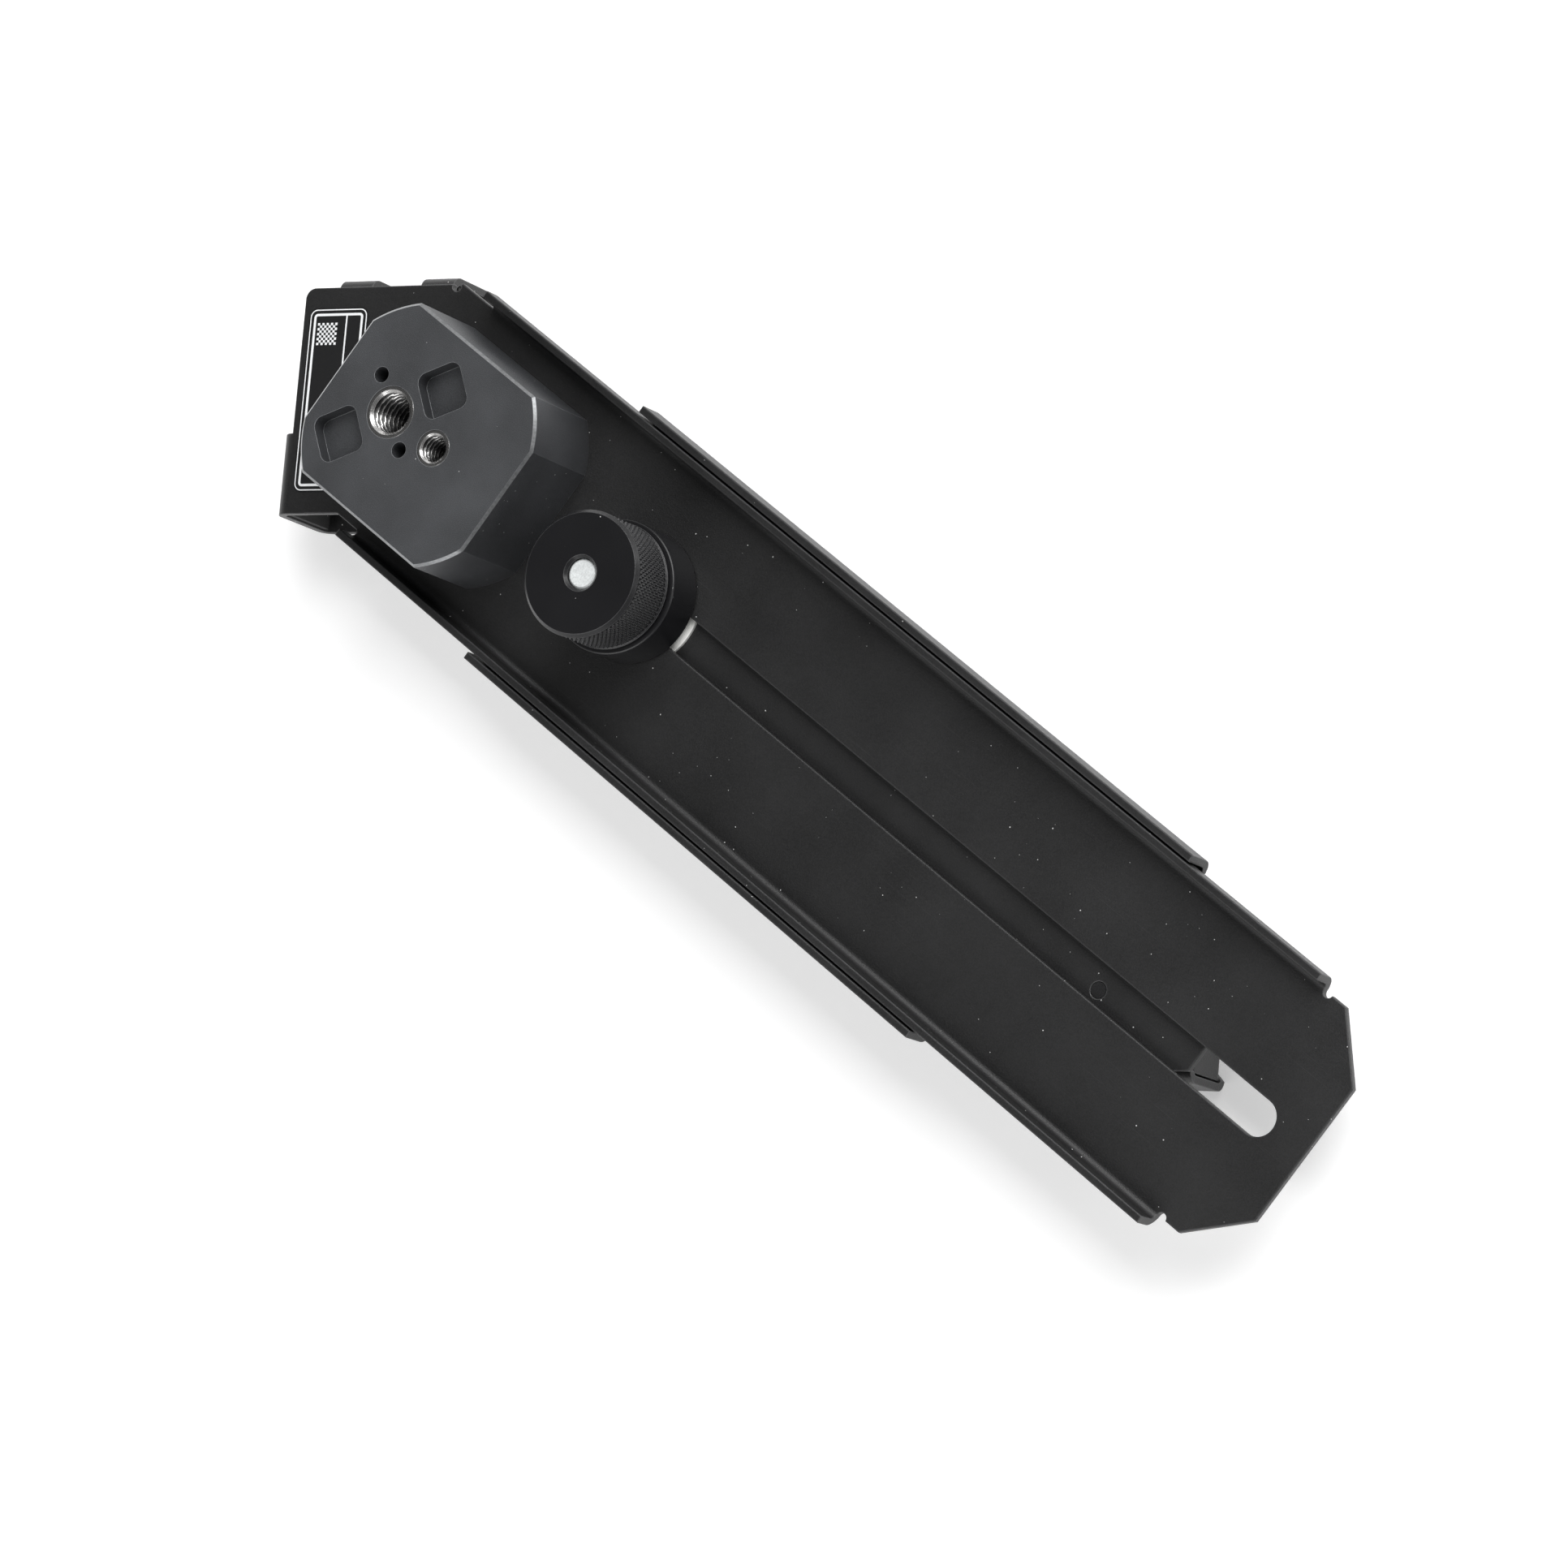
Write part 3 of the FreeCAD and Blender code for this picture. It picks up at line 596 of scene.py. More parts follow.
def lathe_group() -> bpy.types.ShaderNodeTree:
    """Makes the fine rings that a lathe leaves round the Z axis.

    Returns:
        The group. Its input is the spacing of the rings, and its output is a height.
    """
    group = new_group("lathe_rings", {"Spacing": 0.0002}, ("Height",))
    wire = Wiring(group)
    rings = group.nodes.new("ShaderNodeTexWave")
    rings.wave_type = "RINGS"
    rings.rings_direction = "Z"
    rings.inputs["Distortion"].default_value = 1.5
    rings.inputs["Detail"].default_value = 2.0
    rings.inputs["Detail Scale"].default_value = 1.2
    wire.put(group.nodes["in"].outputs["Place"], rings.inputs["Vector"])
    spacing = group.nodes["in"].outputs["Spacing"]
    wire.put(wire.math("DIVIDE", RINGS_PER_SCALE, spacing), rings.inputs["Scale"])
    group.links.new(rings.outputs["Fac"], group.nodes["out"].inputs["Height"])
    return group


@dataclass
class Effects:
    """The node groups that the finishes share."""

    grain: bpy.types.ShaderNodeTree = field(default_factory=grain_group)
    dust: bpy.types.ShaderNodeTree = field(default_factory=dust_group)
    rub: bpy.types.ShaderNodeTree = field(default_factory=rub_group)
    lathe: bpy.types.ShaderNodeTree = field(default_factory=lathe_group)


@dataclass(frozen=True)
class Finish:
    """One surface finish, from which a material is made.

    Colours are linear. The tone is how far the colour swings either way, the grain is the
    size of its grains and the depth their height. Dust and rub are shares from 0 to 1, and
    the edge is the radius to which sharp edges look rounded. Along those edges the colour is
    mixed towards the edge highlight colour, which is a painted highlight.
    """

    title: str
    colour: Colour
    roughness: float
    metallic: float = 0.0
    ior: float = 1.5
    tone: float = 0.25
    grain: float = 0.25 * MM
    depth: float = 0.004 * MM
    lay: Lay = Lay.NONE
    lay_spacing: float = 0.25 * MM
    lay_depth: float = 0.002 * MM
    dust: float = 0.0
    rub: float = 0.0
    rub_colour: Colour = (0.2, 0.2, 0.2)
    edge: float = 0.0
    # The colour of the painted highlight along sharp edges.
    edge_highlight_colour: Colour = (0.1, 0.1, 0.1)

    def material(
        self, effects: Effects, centre: tuple[float, float] = (0.0, 0.0)
    ) -> bpy.types.Material:
        """Makes the material.

        Args:
            effects: the shared node groups.
            centre: where turned marks have their middle, along and across the slot.

        Returns:
            The material.
        """
        made = bpy.data.materials.new(self.title)
        made.use_nodes = True
        wire = Wiring(made.node_tree)
        nodes = made.node_tree.nodes
        shader = nodes["Principled BSDF"]
        shader.inputs["Metallic"].default_value = self.metallic
        shader.inputs["IOR"].default_value = self.ior
        place = nodes.new("ShaderNodeMapping")
        place.inputs["Location"].default_value = (-centre[0], -centre[1], 0.0)
        wire.put(
            nodes.new("ShaderNodeTexCoord").outputs["Object"], place.inputs["Vector"]
        )

        grain = self._effect(wire, effects.grain, place, Size=self.grain)
        dark = [channel * (1 - self.tone) for channel in self.colour]
        light = [channel * (1 + self.tone) for channel in self.colour]
        colour = wire.mix(grain.outputs["Tone"], (*dark, 1.0), (*light, 1.0))
        if self.rub:
            rub = self._effect(wire, effects.rub, place, Amount=self.rub)
            colour = wire.mix(rub.outputs["Mask"], colour, (*self.rub_colour, 1.0))
        soft_edge = None
        if self.edge:
            soft_edge = nodes.new("ShaderNodeBevel")
            soft_edge.samples = EDGE_SAMPLES
            soft_edge.inputs["Radius"].default_value = self.edge
            flat = nodes.new("ShaderNodeNewGeometry").outputs["Normal"]
            along = nodes.new("ShaderNodeVectorMath")
            along.operation = "DOT_PRODUCT"
            wire.put(soft_edge.outputs["Normal"], along.inputs[0])
            wire.put(flat, along.inputs[1])
            # The bevel mask lightens every sharp edge towards the edge highlight colour: a
            # painted highlight along the edges.
            blend_share = wire.spread(along.outputs["Value"], *EDGE_TURN, 0.0, 1.0)
            colour = wire.mix(blend_share, colour, (*self.edge_highlight_colour, 1.0))
        if self.dust:
            dust = self._effect(wire, effects.dust, place, Share=self.dust)
            colour = wire.mix(dust.outputs["Mask"], colour, (*DUST_COLOUR, 1.0))
        wire.put(colour, shader.inputs["Base Color"])
        smoothest = self.roughness * (1 - ROUGHNESS_SWING)
        roughest = self.roughness * (1 + ROUGHNESS_SWING)
        wire.put(
            wire.spread(grain.outputs["Tone"], 0.0, 1.0, smoothest, roughest),
            shader.inputs["Roughness"],
        )

        height = wire.math("MULTIPLY", grain.outputs["Height"], self.depth)
        if self.lay is Lay.TURNED:
            marks = self._effect(wire, effects.lathe, place, Spacing=self.lay_spacing)
            cut = wire.math("MULTIPLY", marks.outputs["Height"], self.lay_depth)
            height = wire.math("ADD", height, cut)
        bump = nodes.new("ShaderNodeBump")
        bump.inputs["Distance"].default_value = 1.0
        if soft_edge:
            wire.put(soft_edge.outputs["Normal"], bump.inputs["Normal"])
        wire.put(height, bump.inputs["Height"])
        wire.put(bump.outputs["Normal"], shader.inputs["Normal"])
        return made

    @staticmethod
    def _effect(
        wire: Wiring,
        group: bpy.types.ShaderNodeTree,
        place: bpy.types.Node,
        **values: float,
    ) -> bpy.types.Node:
        """Places a shared group in a material, reading the material's place.

        Args:
            wire: the material's wiring.
            group: the group.
            place: the node whose output is the place.
            values: the group's number inputs.

        Returns:
            The group's node.
        """
        node = wire.tree.nodes.new("ShaderNodeGroup")
        node.node_tree = group
        wire.put(place.outputs[0], node.inputs["Place"])
        for title, value in values.items():
            node.inputs[title].default_value = value
        return node


POWDER_COAT = Finish(
    "powder_coat", (0.0105, 0.0105, 0.0108), 0.42, tone=0.5, dust=0.16, rub=0.12,
    grain=0.26 * MM, depth=0.05 * MM, edge=0.4 * MM, edge_highlight_colour=(0.09, 0.09, 0.092),
)
BLASTED_ANODISE = Finish(
    "blasted_anodise", (0.05, 0.052, 0.056), 0.46, metallic=0.3, tone=0.55,
    grain=0.16 * MM, depth=0.09 * MM, lay=Lay.TURNED, lay_spacing=0.6 * MM,
    lay_depth=0.0015 * MM, dust=0.08, edge=0.14 * MM, edge_highlight_colour=(0.3, 0.31, 0.32),
)
BRIGHT_ARRIS = Finish(
    "bright_arris", (0.24, 0.245, 0.25), 0.3, metallic=0.9, tone=0.3,
    grain=0.5 * MM, depth=0.002 * MM,
)
BLACK_ANODISE = Finish(
    "black_anodise", (0.0075, 0.0075, 0.0085), 0.3, tone=0.3, ior=1.45, grain=0.2 * MM,
    depth=0.006 * MM, lay=Lay.TURNED, lay_spacing=0.3 * MM, lay_depth=0.0015 * MM,
    dust=0.05, edge=0.14 * MM, edge_highlight_colour=(0.11, 0.11, 0.113),
)
MACHINED_STEEL = Finish(
    "machined_steel", (0.46, 0.455, 0.45), 0.22, metallic=1.0, tone=0.3,
    grain=0.3 * MM, depth=0.004 * MM, lay=Lay.TURNED, lay_spacing=0.2 * MM,
    lay_depth=0.004 * MM,
)
# Darker steel laid into the thread grooves: painted shade in the thread's roots.
ROOT_PAINTED_SHADE = Finish(
    "thread_root_painted_shade", (0.05, 0.05, 0.05), 0.3, metallic=0.8, tone=0.5, grain=0.3 * MM,
    depth=0.006 * MM,
)
BLACKENED_STEEL = Finish(
    "blackened_steel", (0.03, 0.03, 0.031), 0.38, metallic=0.6, tone=0.35,
    grain=0.25 * MM, depth=0.006 * MM,
)
ZINC_PLATE = Finish(
    "zinc_plate", (0.8, 0.83, 0.83), 0.48, metallic=0.4, tone=0.22,
    grain=0.35 * MM, depth=0.03 * MM,
)
SOLID_RUBBER = Finish(
    "solid_rubber", (0.016, 0.016, 0.016), 0.75, tone=0.2, grain=0.3 * MM,
    depth=0.012 * MM, dust=0.02, edge=0.3 * MM, edge_highlight_colour=(0.022, 0.022, 0.022),
)
LABEL_FILM = Finish(
    "label_film", (0.009, 0.009, 0.0095), 0.36, tone=0.15, grain=0.4 * MM,
    depth=0.002 * MM, dust=0.02,
)
LABEL_INK = Finish(
    "label_ink", (0.78, 0.79, 0.8), 0.5, tone=0.06, grain=0.3 * MM,
    depth=0.002 * MM,
)
MOULDED_NYLON = Finish(
    "moulded_nylon", (0.82, 0.82, 0.79), 0.48, tone=0.06, grain=0.4 * MM,
    depth=0.006 * MM, edge=0.15 * MM, edge_highlight_colour=(0.85, 0.85, 0.82),
)


# ---------------------------------------------------------------------------------------
# Sub-assemblies
# ---------------------------------------------------------------------------------------


@dataclass
class SheetWork:
    """The bent and coated sheet parts, which keep their CAD shapes."""

    effects: Effects
    parts: tuple[str, ...] = ("main_channel", "sliding_channel", "hook_plate")

    def build(self) -> None:
        """Dresses every sheet part."""
        coat = POWDER_COAT.material(self.effects)
        for node in self.parts:
            dress(node, coat)


@dataclass
class SoftParts:
    """The rubber pads and liners and the nylon strips, washer and bush."""

    effects: Effects

    def build(self) -> None:
        """Dresses every rubber and nylon part."""
        rubber = SOLID_RUBBER.material(self.effects)
        nylon = MOULDED_NYLON.material(self.effects)
        finishes = {"rubber": rubber, "white_nylon": nylon}
        for part in frame["record"]["subparts"]:
            if part["material_slot"] in finishes:
                dress(part["node"], finishes[part["material_slot"]])


@dataclass
class ThreadBlock:
    """The thread block, its two threaded bushes and the screws that hold it."""

    effects: Effects
    chamfer: float = 0.6 * MM
    sides: int = 96
    rows_per_turn: int = 12
    large_pitch: float = 25.4 / 16 * MM
    large_bore: float = 3.97 * MM
    large_depth: float = 0.72 * MM
    small_pitch: float = 25.4 / 20 * MM
    small_bore: float = 2.59 * MM
    small_depth: float = 0.54 * MM
    rim: float = 0.12 * MM
    screw_sides: int = 48
    socket_across: float = 2.5 * MM
    socket_depth: float = 1.3 * MM
    shank_radius: float = 2.0 * MM
    shank_chamfer: float = 0.3 * MM
    head_height: float = 2.2 * MM
    dome_turns: tuple[float, float] = (0.25, 1.2)
    dome_steps: int = 6
    lead_in: float = 0.8
    painted_shade_reach: tuple[float, float] = (0.3, 1.05)

    def build(self) -> None:
        """Makes the block, its bushes and its screws, and dresses them."""
        block = merged_copy("mounting_block")
        skin = BLASTED_ANODISE.material(self.effects)
        arris = BRIGHT_ARRIS.material(self.effects)
        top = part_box("mounting_block")[1].z
        for face in block.data.polygons:
            if face.center.z > top - self.chamfer and 0.5 < face.normal.z < 0.9:
                face.material_index = 1
        fit(
            block, "rail", "anodised_aluminium", "mounting_block",
            finishes=(skin, arris),
        )
        self.bush(
            "thread_insert_large", self.large_bore, self.large_depth, self.large_pitch
        )
        self.bush(
            "thread_insert_small", self.small_bore, self.small_depth, self.small_pitch
        )
        self.screws()

    def bush(self, node: str, bore: float, depth: float, pitch: float) -> None:
        """Makes a threaded bush in the place of a CAD one.

        Args:
            node: the CAD node.
            bore: the radius inside the thread's crests.
            depth: the depth of the thread.
            pitch: the rise in one turn.
        """
        low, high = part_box(node)
        outer = (high.x - low.x) / 2
        centre = ((low.x + high.x) / 2, (low.y + high.y) / 2)
        lead_in = depth * self.lead_in
        mouth = bore + lead_in
        count = round((high.z - low.z) / pitch * self.rows_per_turn)
        profile = [
            (bore, height) for height in rows(high.z - lead_in, low.z, count)
        ]
        profile += [(outer, low.z), (outer, high.z - self.rim)]
        profile += [(outer - self.rim, high.z), (mouth, high.z)]
        piece = turned(f"{node}_threaded", profile, self.sides)
        cut_thread(piece, bore, depth, pitch, low.z, high.z - lead_in)
        two_slots(piece)
        # Faces deep in the thread's grooves take the second slot, which paints shade into
        # the roots.
        for face in piece.data.polygons:
            out = (math.hypot(face.center.x, face.center.y) - bore) / depth
            in_root = self.painted_shade_reach[0] < out < self.painted_shade_reach[1]
            if in_root and face.center.z < high.z - lead_in:
                face.material_index = 1
        shift(piece, *centre)
        smooth(piece)
        metal = MACHINED_STEEL.material(self.effects, centre)
        root = ROOT_PAINTED_SHADE.material(self.effects, centre)
        fit(piece, "rail", "bright_steel", node, finishes=(metal, root))

    def screws(self) -> None:
        """Makes the button-head screws, heads down, with hexagon sockets."""
        solids = solids_of("block_screws")
        low, high = solids[0]
        radius = (high.x - low.x) / 2
        seat = low.z + self.head_height
        dome = [
            (radius * math.cos(turn), seat - self.head_height * math.sin(turn))
            for turn in rows(*self.dome_turns, self.dome_steps)
        ]
        profile = [(0.0, high.z), (self.shank_radius - self.shank_chamfer, high.z)]
        profile += [(self.shank_radius, high.z - self.shank_chamfer)]
        profile += [(self.shank_radius, seat)]
        profile += [(radius, seat), *dome]
        profile += [(dome[-1][0], low.z), (0.0, low.z)]
        screw = turned("block_screw", profile, self.screw_sides)
        bpy.ops.object.select_all(action="DESELECT")
        bpy.ops.mesh.primitive_cylinder_add(
            vertices=6,
            radius=self.socket_across / math.sqrt(3),
            depth=2 * self.socket_depth,
            location=(0, 0, low.z),
        )
        key = bpy.context.object
        apply_modifier(
            screw, "BOOLEAN", operation="DIFFERENCE", object=key, solver="EXACT"
        )
        bpy.data.objects.remove(key)
        metal = BLACKENED_STEEL.material(self.effects)
        for index, (near, far) in enumerate(solids, 1):
            piece = bpy.data.objects.new(f"block_screw_{index}", screw.data.copy())
            bpy.context.scene.collection.objects.link(piece)
            shift(piece, (near.x + far.x) / 2, (near.y + far.y) / 2)
            smooth(piece)
            fit(piece, "rail", "dark_steel", "block_screws", finishes=(metal,))
        bpy.data.objects.remove(screw)


@dataclass
class Rivets:
    """The domed rivets that hold the hook plate under the sliding channel."""

    effects: Effects
    sides: int = 40
    steps: int = 6
    shank_share: float = 0.55
    dome_turns: tuple[float, float] = (0.2, math.pi / 2 - 0.05)

    def build(self) -> None:
        """Makes the rivets and dresses them."""
        metal = BLACKENED_STEEL.material(self.effects)
        for index, (low, high) in enumerate(solids_of("hook_plate_rivets"), 1):
            radius = (high.x - low.x) / 2
            plate_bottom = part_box("hook_plate_pad")[1].z
            shank = radius * self.shank_share
            profile = [(0.0, high.z), (shank, high.z)]
            profile += [(shank, plate_bottom), (radius, plate_bottom)]
            profile += [
                (
                    radius * math.cos(turn),
                    plate_bottom - (plate_bottom - low.z) * math.sin(turn),
                )
                for turn in rows(*self.dome_turns, self.steps)
            ]
            profile += [(0.0, low.z)]
            piece = turned(f"hook_plate_rivet_{index}", profile, self.sides)
            shift(piece, (low.x + high.x) / 2, (low.y + high.y) / 2)
            smooth(piece)
            fit(piece, "arm", "dark_steel", "hook_plate_rivets", finishes=(metal,))


@dataclass
class Label:
    """The film label on the head, with plain printed frames and a plain pattern."""

    effects: Effects
    across: float = 13.6 * MM
    along: float = 37.4 * MM
    turn: float = math.radians(35)
    corner: float = 1.8 * MM
    least_corner: float = 1.6
    corner_steps: int = 6
    ink: float = 0.02 * MM
    outer_inset: float = 0.3 * MM
    outer_line: float = 0.22 * MM
    inner_inset: float = 1.15 * MM
    inner_line: float = 0.5 * MM
    divider: float = 1.9 * MM
    divider_line: float = 0.32 * MM
    pattern: float = 4.5 * MM
    pattern_centre: tuple[float, float] = (-2.4 * MM, 13.4 * MM)
    cells: int = 9

    def build(self) -> None:
        """Makes the film and its printing, and dresses them."""
        film = LABEL_FILM.material(self.effects)
        dress("rating_label", film)
        self.printing()

    def slab(self, name: str, across: float, along: float) -> bpy.types.Object:
        """Adds a flat plate about the origin.

        Args:
            name: its name.
            across: its size along X.
            along: its size along Y.

        Returns:
            The plate.
        """
        bpy.ops.object.select_all(action="DESELECT")
        bpy.ops.mesh.primitive_plane_add(size=1.0)
        piece = bpy.context.object
        piece.name = piece.data.name = name
        piece.data.transform(Matrix.Diagonal((across, along, 1.0, 1.0)))
        return piece

    def outline(self, inset: float, line: float) -> bpy.types.Object:
        """Makes one printed frame with round corners.

        Args:
            inset: its distance inside the film's edge.
            line: the width of its line.

        Returns:
            The frame, flat.
        """
        across, along = self.across - 2 * inset, self.along - 2 * inset
        piece = self.slab("printed_frame", across, along)
        corner = max(self.corner - inset, line * self.least_corner)
        with editing(piece, "VERT"):
            bpy.ops.mesh.select_all(action="SELECT")
            bpy.ops.mesh.bevel(
                offset=corner, segments=self.corner_steps, affect="VERTICES"
            )
        with editing(piece, "FACE"):
            bpy.ops.mesh.select_all(action="SELECT")
            bpy.ops.mesh.inset(thickness=line)
            bpy.ops.mesh.delete(type="FACE")
        return piece

    def marks(self) -> list[bpy.types.Object]:
        """Makes a square of small cells in an even, repeating arrangement.

        Returns:
            The cells, flat.
        """
        pitch = self.pattern / self.cells
        placed = []
        for row in range(self.cells):
            for column in range(self.cells):
                if (column + row) % 2:
                    continue
                cell = self.slab("printed_cell", pitch, pitch)
                middle = (self.cells - 1) / 2
                shift(
                    cell,
                    self.pattern_centre[0] + (column - middle) * pitch,
                    self.pattern_centre[1] + (row - middle) * pitch,
                )
                placed.append(cell)
        return placed

    def printing(self) -> None:
        """Joins all printed lines and cells into one thin piece on the film."""
        printed = [
            self.outline(self.outer_inset, self.outer_line),
            self.outline(self.inner_inset, self.inner_line),
        ]
        bar = self.slab(
            "printed_bar",
            self.divider_line,
            self.along - 2 * (self.inner_inset + self.inner_line),
        )
        shift(bar, self.divider, 0.0)
        printed += [bar, *self.marks()]
        alone(printed[0])
        for part in printed:
            part.select_set(True)
        bpy.ops.object.join()
        piece = bpy.context.object
        piece.name = piece.data.name = "label_printing"
        with editing(piece, "VERT"):
            bpy.ops.mesh.select_all(action="SELECT")
            bpy.ops.mesh.remove_doubles(threshold=TOUCHING)
        apply_modifier(piece, "SOLIDIFY", thickness=self.ink, offset=1.0)
        low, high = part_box("rating_label")
        piece.data.transform(Matrix.Rotation(self.turn, 4, "Z"))
        shift(piece, (low.x + high.x) / 2, (low.y + high.y) / 2, high.z)
        fit(
            piece, "rail", "label_film",
            finishes=(LABEL_INK.material(self.effects),),
        )


@dataclass
class Clamp:
    """The stud, the pressure collar and the knurled knob."""

    effects: Effects
    collar_edge: float = 0.4 * MM
    neck: float = 6.0 * MM
    neck_height: float = 2.0 * MM
    chamfer: float = 0.7 * MM
    bore: float = 3.05 * MM
    countersink: float = 3.6 * MM
    plain_rim: float = 0.35 * MM
    diamonds: int = 80
    diamond_rows: int = 13
    knurl_depth: float = 0.36 * MM
    diamond_flat: float = 0.1 * MM
    stud_sides: int = 64
    stud_pitch: float = 1.0 * MM
    stud_thread: float = 0.45 * MM
    stud_tip: float = 0.45 * MM
    stud_head_chamfer: float = 0.3 * MM
    stud_play: float = 0.05 * MM
    stud_rows_per_turn: int = 10
    stud_plain_end: float = 0.1 * MM
    rim_drop: float = 0.05 * MM
    rim_ramp: float = 0.1 * MM
    rim_steps: int = 4
    centre: tuple[float, float] = field(default=(0.0, 0.0), init=False)

    def build(self) -> None:
        """Makes the stud, the collar and the knob, and dresses them."""
        low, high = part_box("clamp_knob")
        self.centre = ((low.x + high.x) / 2, (low.y + high.y) / 2)
        black = BLACK_ANODISE.material(self.effects, self.centre)
        self.collar(black)
        self.knob(black)
        self.stud()

    def collar(self, skin: bpy.types.Material) -> None:
        """Makes the pressure collar, with rounded rims and a neck under the knob.

        Args:
            skin: its material.
        """
        low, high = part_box("clamp_collar")
        radius = (high.x - low.x) / 2
        shoulder = high.z - self.neck_height
        rim = self.collar_edge
        round_rim = [
            (radius - rim + rim * math.cos(turn), shoulder - rim + rim * math.sin(turn))
            for turn in rows(0.0, math.pi / 2, self.rim_steps)
        ]
        profile = [(self.bore, low.z), (radius - rim, low.z), (radius, low.z + rim)]
        profile += [*round_rim, (self.neck, shoulder), (self.neck, high.z)]
        profile += [(self.bore, high.z)]
        piece = turned("clamp_collar_turned", profile, 2 * self.stud_sides)
        shift(piece, *self.centre)
        smooth(piece)
        fit(piece, "collar", "anodised_aluminium", "clamp_collar", finishes=(skin,))

    def knob(self, skin: bpy.types.Material) -> None:
        """Makes the knob and raises the diamonds of its knurl.

        Args:
            skin: its material.
        """
        low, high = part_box("clamp_knob")
        radius = (high.x - low.x) / 2
        root = radius - self.knurl_depth
        bottom = low.z + self.chamfer + self.plain_rim
        top = high.z - self.chamfer - self.plain_rim
        rim = radius - self.rim_drop
        sink = self.countersink - self.bore
        profile = [(self.bore, low.z), (root - self.chamfer, low.z)]
        profile += [(rim, low.z + self.chamfer), (rim, bottom - self.rim_ramp)]
        profile += [(root, height) for height in rows(bottom, top, self.diamond_rows + 1)]
        profile += [(rim, top + self.rim_ramp), (rim, high.z - self.chamfer)]
        profile += [(radius - self.chamfer, high.z)]
        profile += [(self.countersink, high.z), (self.bore, high.z - sink)]
        piece = turned("clamp_knob_knurled", profile, 2 * self.diamonds)
        step = (top - bottom) / (self.diamond_rows + 1)

        def is_peak(place: Vector) -> bool:
            """Says whether a vertex of the knurl's band is the middle of a diamond.

            Args:
                place: the vertex's place.

            Returns:
                Whether it is.
            """
            out = math.hypot(place.x, place.y)
            row = (place.z - bottom) / step
            if abs(out - root) > TOUCHING or not 0.5 < row < self.diamond_rows + 0.5:
                return False
            column = math.atan2(place.y, place.x) / FULL_TURN * 2 * self.diamonds
            return (round(row) + round(column)) % 2 == 1

        pick_corners(piece, is_peak)
        for corner in piece.data.vertices:
            if corner.select:
                corner.co.x *= radius / root
                corner.co.y *= radius / root
        # Edit mode opens in the last select mode, and only face mode keeps picked faces.
        with editing(piece, "FACE"):
            bpy.ops.mesh.select_all(action="DESELECT")
        pick_faces(
            piece,
            lambda face: bottom < face.center.z < top
            and math.hypot(face.center.x, face.center.y) > root - self.knurl_depth,
        )
        with editing(piece, "FACE"):
            bpy.ops.mesh.quads_convert_to_tris(quad_method="SHORTEST_DIAGONAL")
        pick_corners(
            piece,
            lambda place: math.hypot(place.x, place.y) > radius - TOUCHING
            and bottom < place.z < top,
        )
        with editing(piece, "VERT"):
            bpy.ops.mesh.bevel(
                offset=self.diamond_flat, segments=1, affect="VERTICES"
            )
        shift(piece, *self.centre)
        smooth(piece)
        fit(piece, "knob", "anodised_aluminium", "clamp_knob", finishes=(skin,))

    def stud(self) -> None:
        """Makes the stud, with its head below and its thread in the knob."""
        low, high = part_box("clamp_stud")
        head_radius = (high.x - low.x) / 2
        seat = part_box("sliding_channel")[0].z
        radius = self.bore - self.stud_play
        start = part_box("clamp_knob")[0].z
        end = high.z - self.stud_tip
        count = round((end - start) / self.stud_pitch * self.stud_rows_per_turn)
        edge = self.stud_head_chamfer
        profile = [(0.0, low.z), (head_radius - edge, low.z)]
        profile += [(head_radius, low.z + edge), (head_radius, seat)]
        profile += [(radius, seat)]
        profile += [(radius, height) for height in rows(start, end, count)]
        profile += [(radius - self.stud_tip, high.z), (0.0, high.z)]
        piece = turned("clamp_stud_threaded", profile, self.stud_sides)
        thread_end = end - self.stud_plain_end
        cut_thread(
            piece, radius, -self.stud_thread, self.stud_pitch, start, thread_end
        )
        shift(piece, *self.centre)
        smooth(piece)
        zinc = ZINC_PLATE.material(self.effects, self.centre)
        fit(piece, "arm", "zinc_steel", "clamp_stud", finishes=(zinc,))


# ---------------------------------------------------------------------------------------
# Studio
# ---------------------------------------------------------------------------------------


@dataclass(frozen=True)
class Panel:
    """One square soft light, hung at an offset from the object's middle."""

    name: str
    offset: tuple[float, float, float]
    side: float
    watts: float


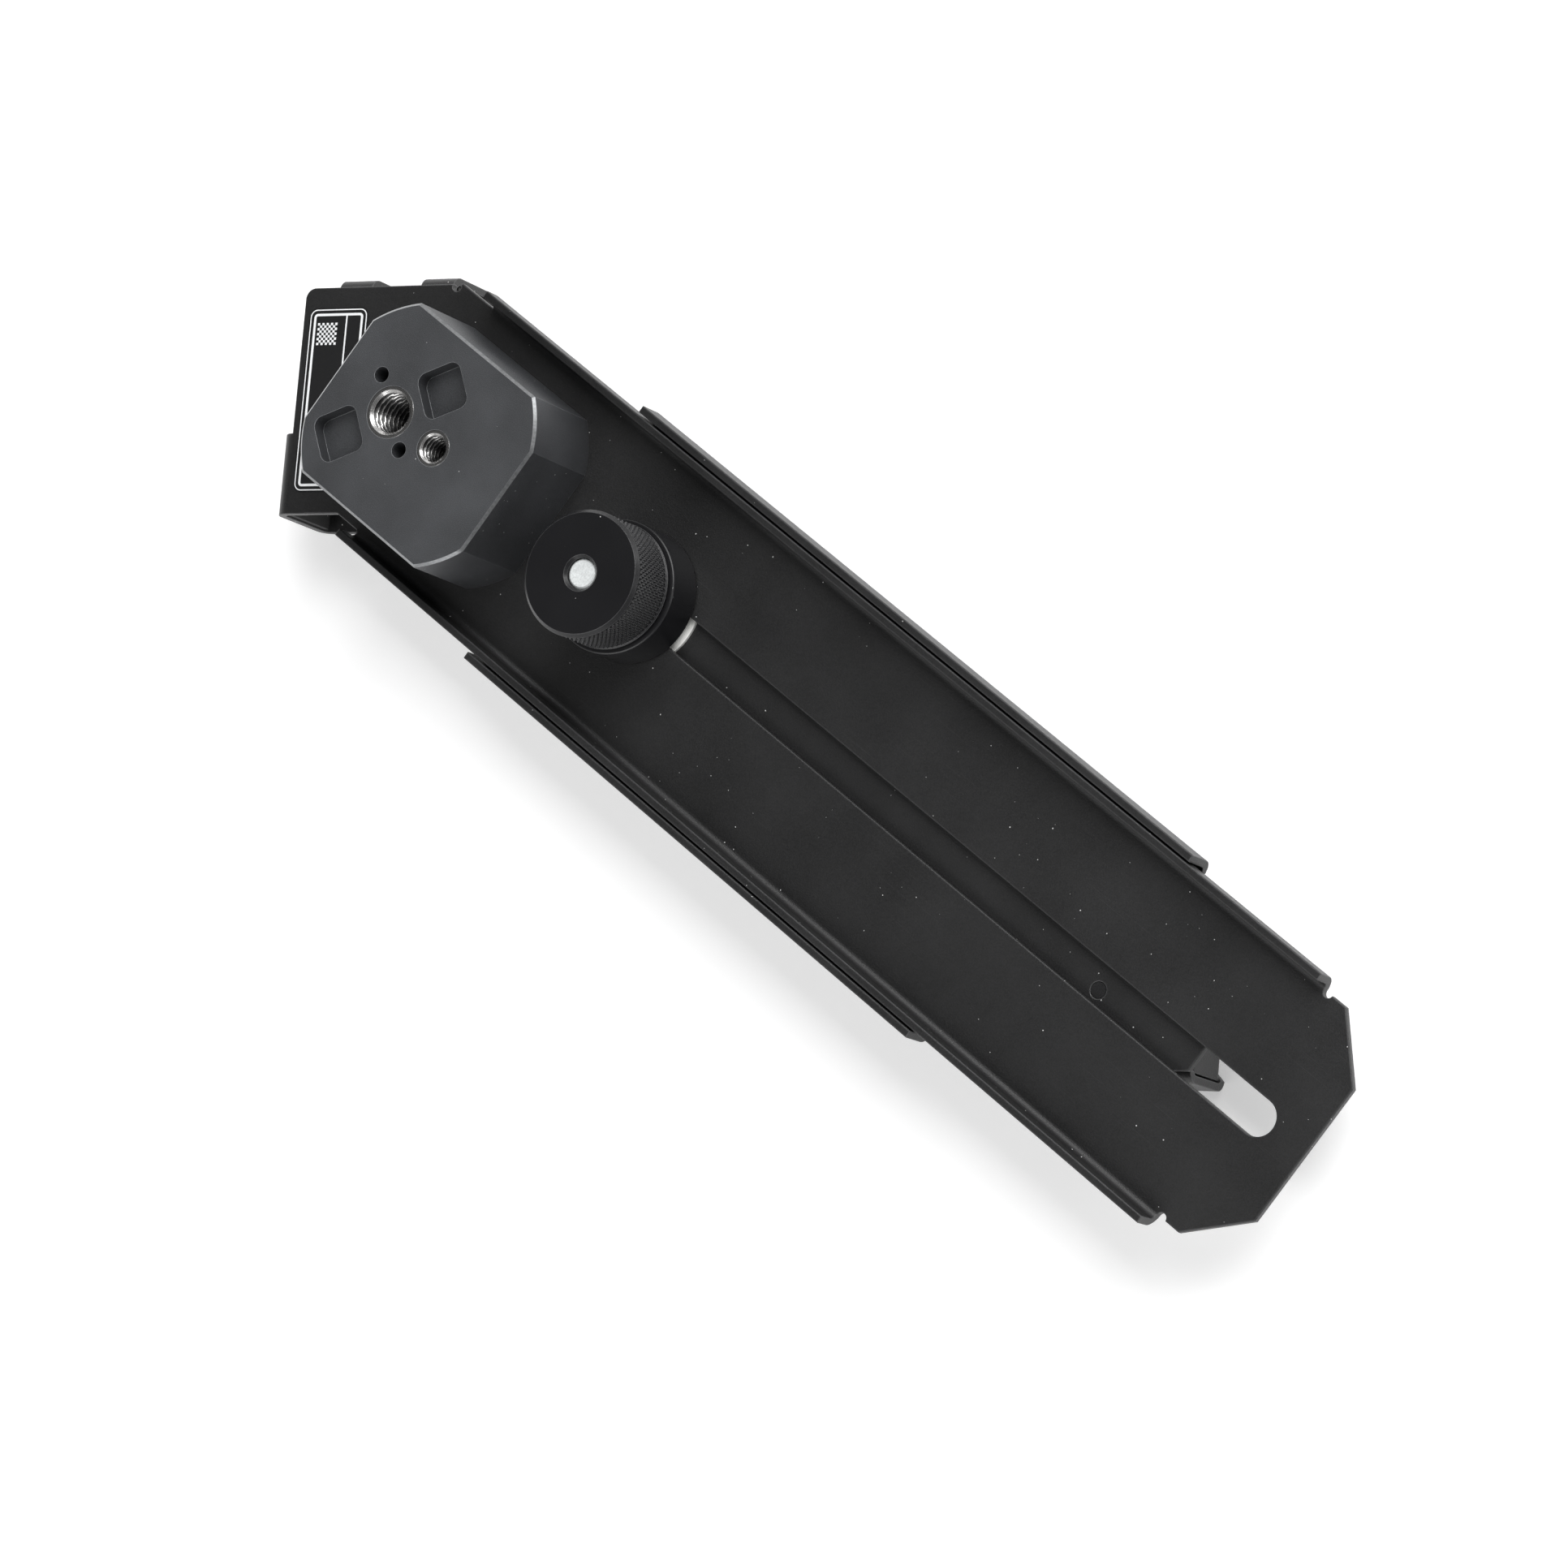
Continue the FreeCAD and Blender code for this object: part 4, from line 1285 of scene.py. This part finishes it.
@dataclass
class Studio:
    """A pale floor, soft lights and the camera."""

    effects: Effects
    floor_half: float = 4.0
    floor_colour: Colour = (0.9, 0.9, 0.9)
    floor_glow: float = 0.27
    sky_foot: float = 1.05
    sky_top: float = 0.11
    sky_rise: float = 0.62
    focal_length: float = 153.909
    camera_place: tuple[float, float, float] = (0.69024, 0.17087, 1.09198)
    camera_turn: tuple[float, float, float] = (11.0107, 26.7406, 40.5388)
    panels: tuple[Panel, ...] = (
        Panel("key_panel", (0.05, 1.1, 1.15), side=1.3, watts=30.0),
        Panel("fill_panel", (0.3, -1.15, 1.2), side=1.4, watts=17.0),
        Panel("end_panel", (1.5, 0.9, 0.4), side=0.5, watts=3.0),
    )

    def build(self) -> None:
        """Sets the floor, the lights and the camera."""
        self.floor()
        self.world()
        low, high = CAD_BOX
        middle = (Vector(low) + Vector(high)) / 2
        for panel in self.panels:
            self.hang(panel, middle)
        self.camera()

    def floor(self) -> None:
        """Lays a pale floor with a faint glow under the object's feet."""
        bpy.ops.object.select_all(action="DESELECT")
        bpy.ops.mesh.primitive_plane_add(size=2 * self.floor_half)
        plane = bpy.context.object
        plane.name = "studio_floor"
        shift(plane, 0.0, 0.0, Vector(CAD_BOX[0]).z)
        paper = Finish(
            "studio_paper", self.floor_colour, 0.8, tone=0.01, grain=2 * MM,
            depth=0.002 * MM,
        )
        sheet = paper.material(self.effects)
        glow = sheet.node_tree.nodes["Principled BSDF"].inputs
        glow["Emission Color"].default_value = (1.0, 1.0, 1.0, 1.0)
        glow["Emission Strength"].default_value = self.floor_glow
        plane.data.materials.append(sheet)

    def world(self) -> None:
        """Lights the studio with a sky that is bright at its foot and dim overhead."""
        world = bpy.data.worlds.new("studio")
        world.use_nodes = True
        wire = Wiring(world.node_tree)
        height = world.node_tree.nodes.new("ShaderNodeSeparateXYZ")
        way = world.node_tree.nodes.new("ShaderNodeTexCoord")
        wire.put(way.outputs["Generated"], height.inputs[0])
        sky = world.node_tree.nodes["Background"]
        sky.inputs["Color"].default_value = (1.0, 1.0, 1.0, 1.0)
        wire.put(
            wire.spread(
                height.outputs["Z"], 0.0, self.sky_rise, self.sky_foot, self.sky_top
            ),
            sky.inputs["Strength"],
        )
        bpy.context.scene.world = world
        bpy.context.scene.view_settings.view_transform = "Standard"

    def hang(self, panel: Panel, aim: Vector) -> None:
        """Hangs a soft light that faces the object.

        Args:
            panel: the light.
            aim: the place that it faces.
        """
        lamp = bpy.data.lights.new(panel.name, "AREA")
        lamp.size = panel.side
        lamp.energy = panel.watts
        holder = bpy.data.objects.new(panel.name, lamp)
        offset = Vector(panel.offset)
        holder.location = aim + offset
        holder.rotation_euler = offset.to_track_quat("Z", "Y").to_euler()
        bpy.context.scene.collection.objects.link(holder)

    def camera(self) -> None:
        """Sets up the camera, with no shift and no depth of field."""
        lens = bpy.data.cameras.new("camera")
        lens.lens = self.focal_length
        holder = bpy.data.objects.new("camera", lens)
        holder.location = self.camera_place
        holder.rotation_euler = Euler(math.radians(turn) for turn in self.camera_turn)
        bpy.context.scene.collection.objects.link(holder)
        bpy.context.scene.camera = holder


def main() -> None:
    """Builds the studio and every visible piece."""
    logging.basicConfig(level=logging.INFO, format="%(name)s: %(message)s")
    effects = Effects()
    for assembly in (Studio, SheetWork, ThreadBlock, Label, Rivets, SoftParts, Clamp):
        assembly(effects).build()
        log.info("%s is built", assembly.__name__)


if __name__ == "__main__":
    main()
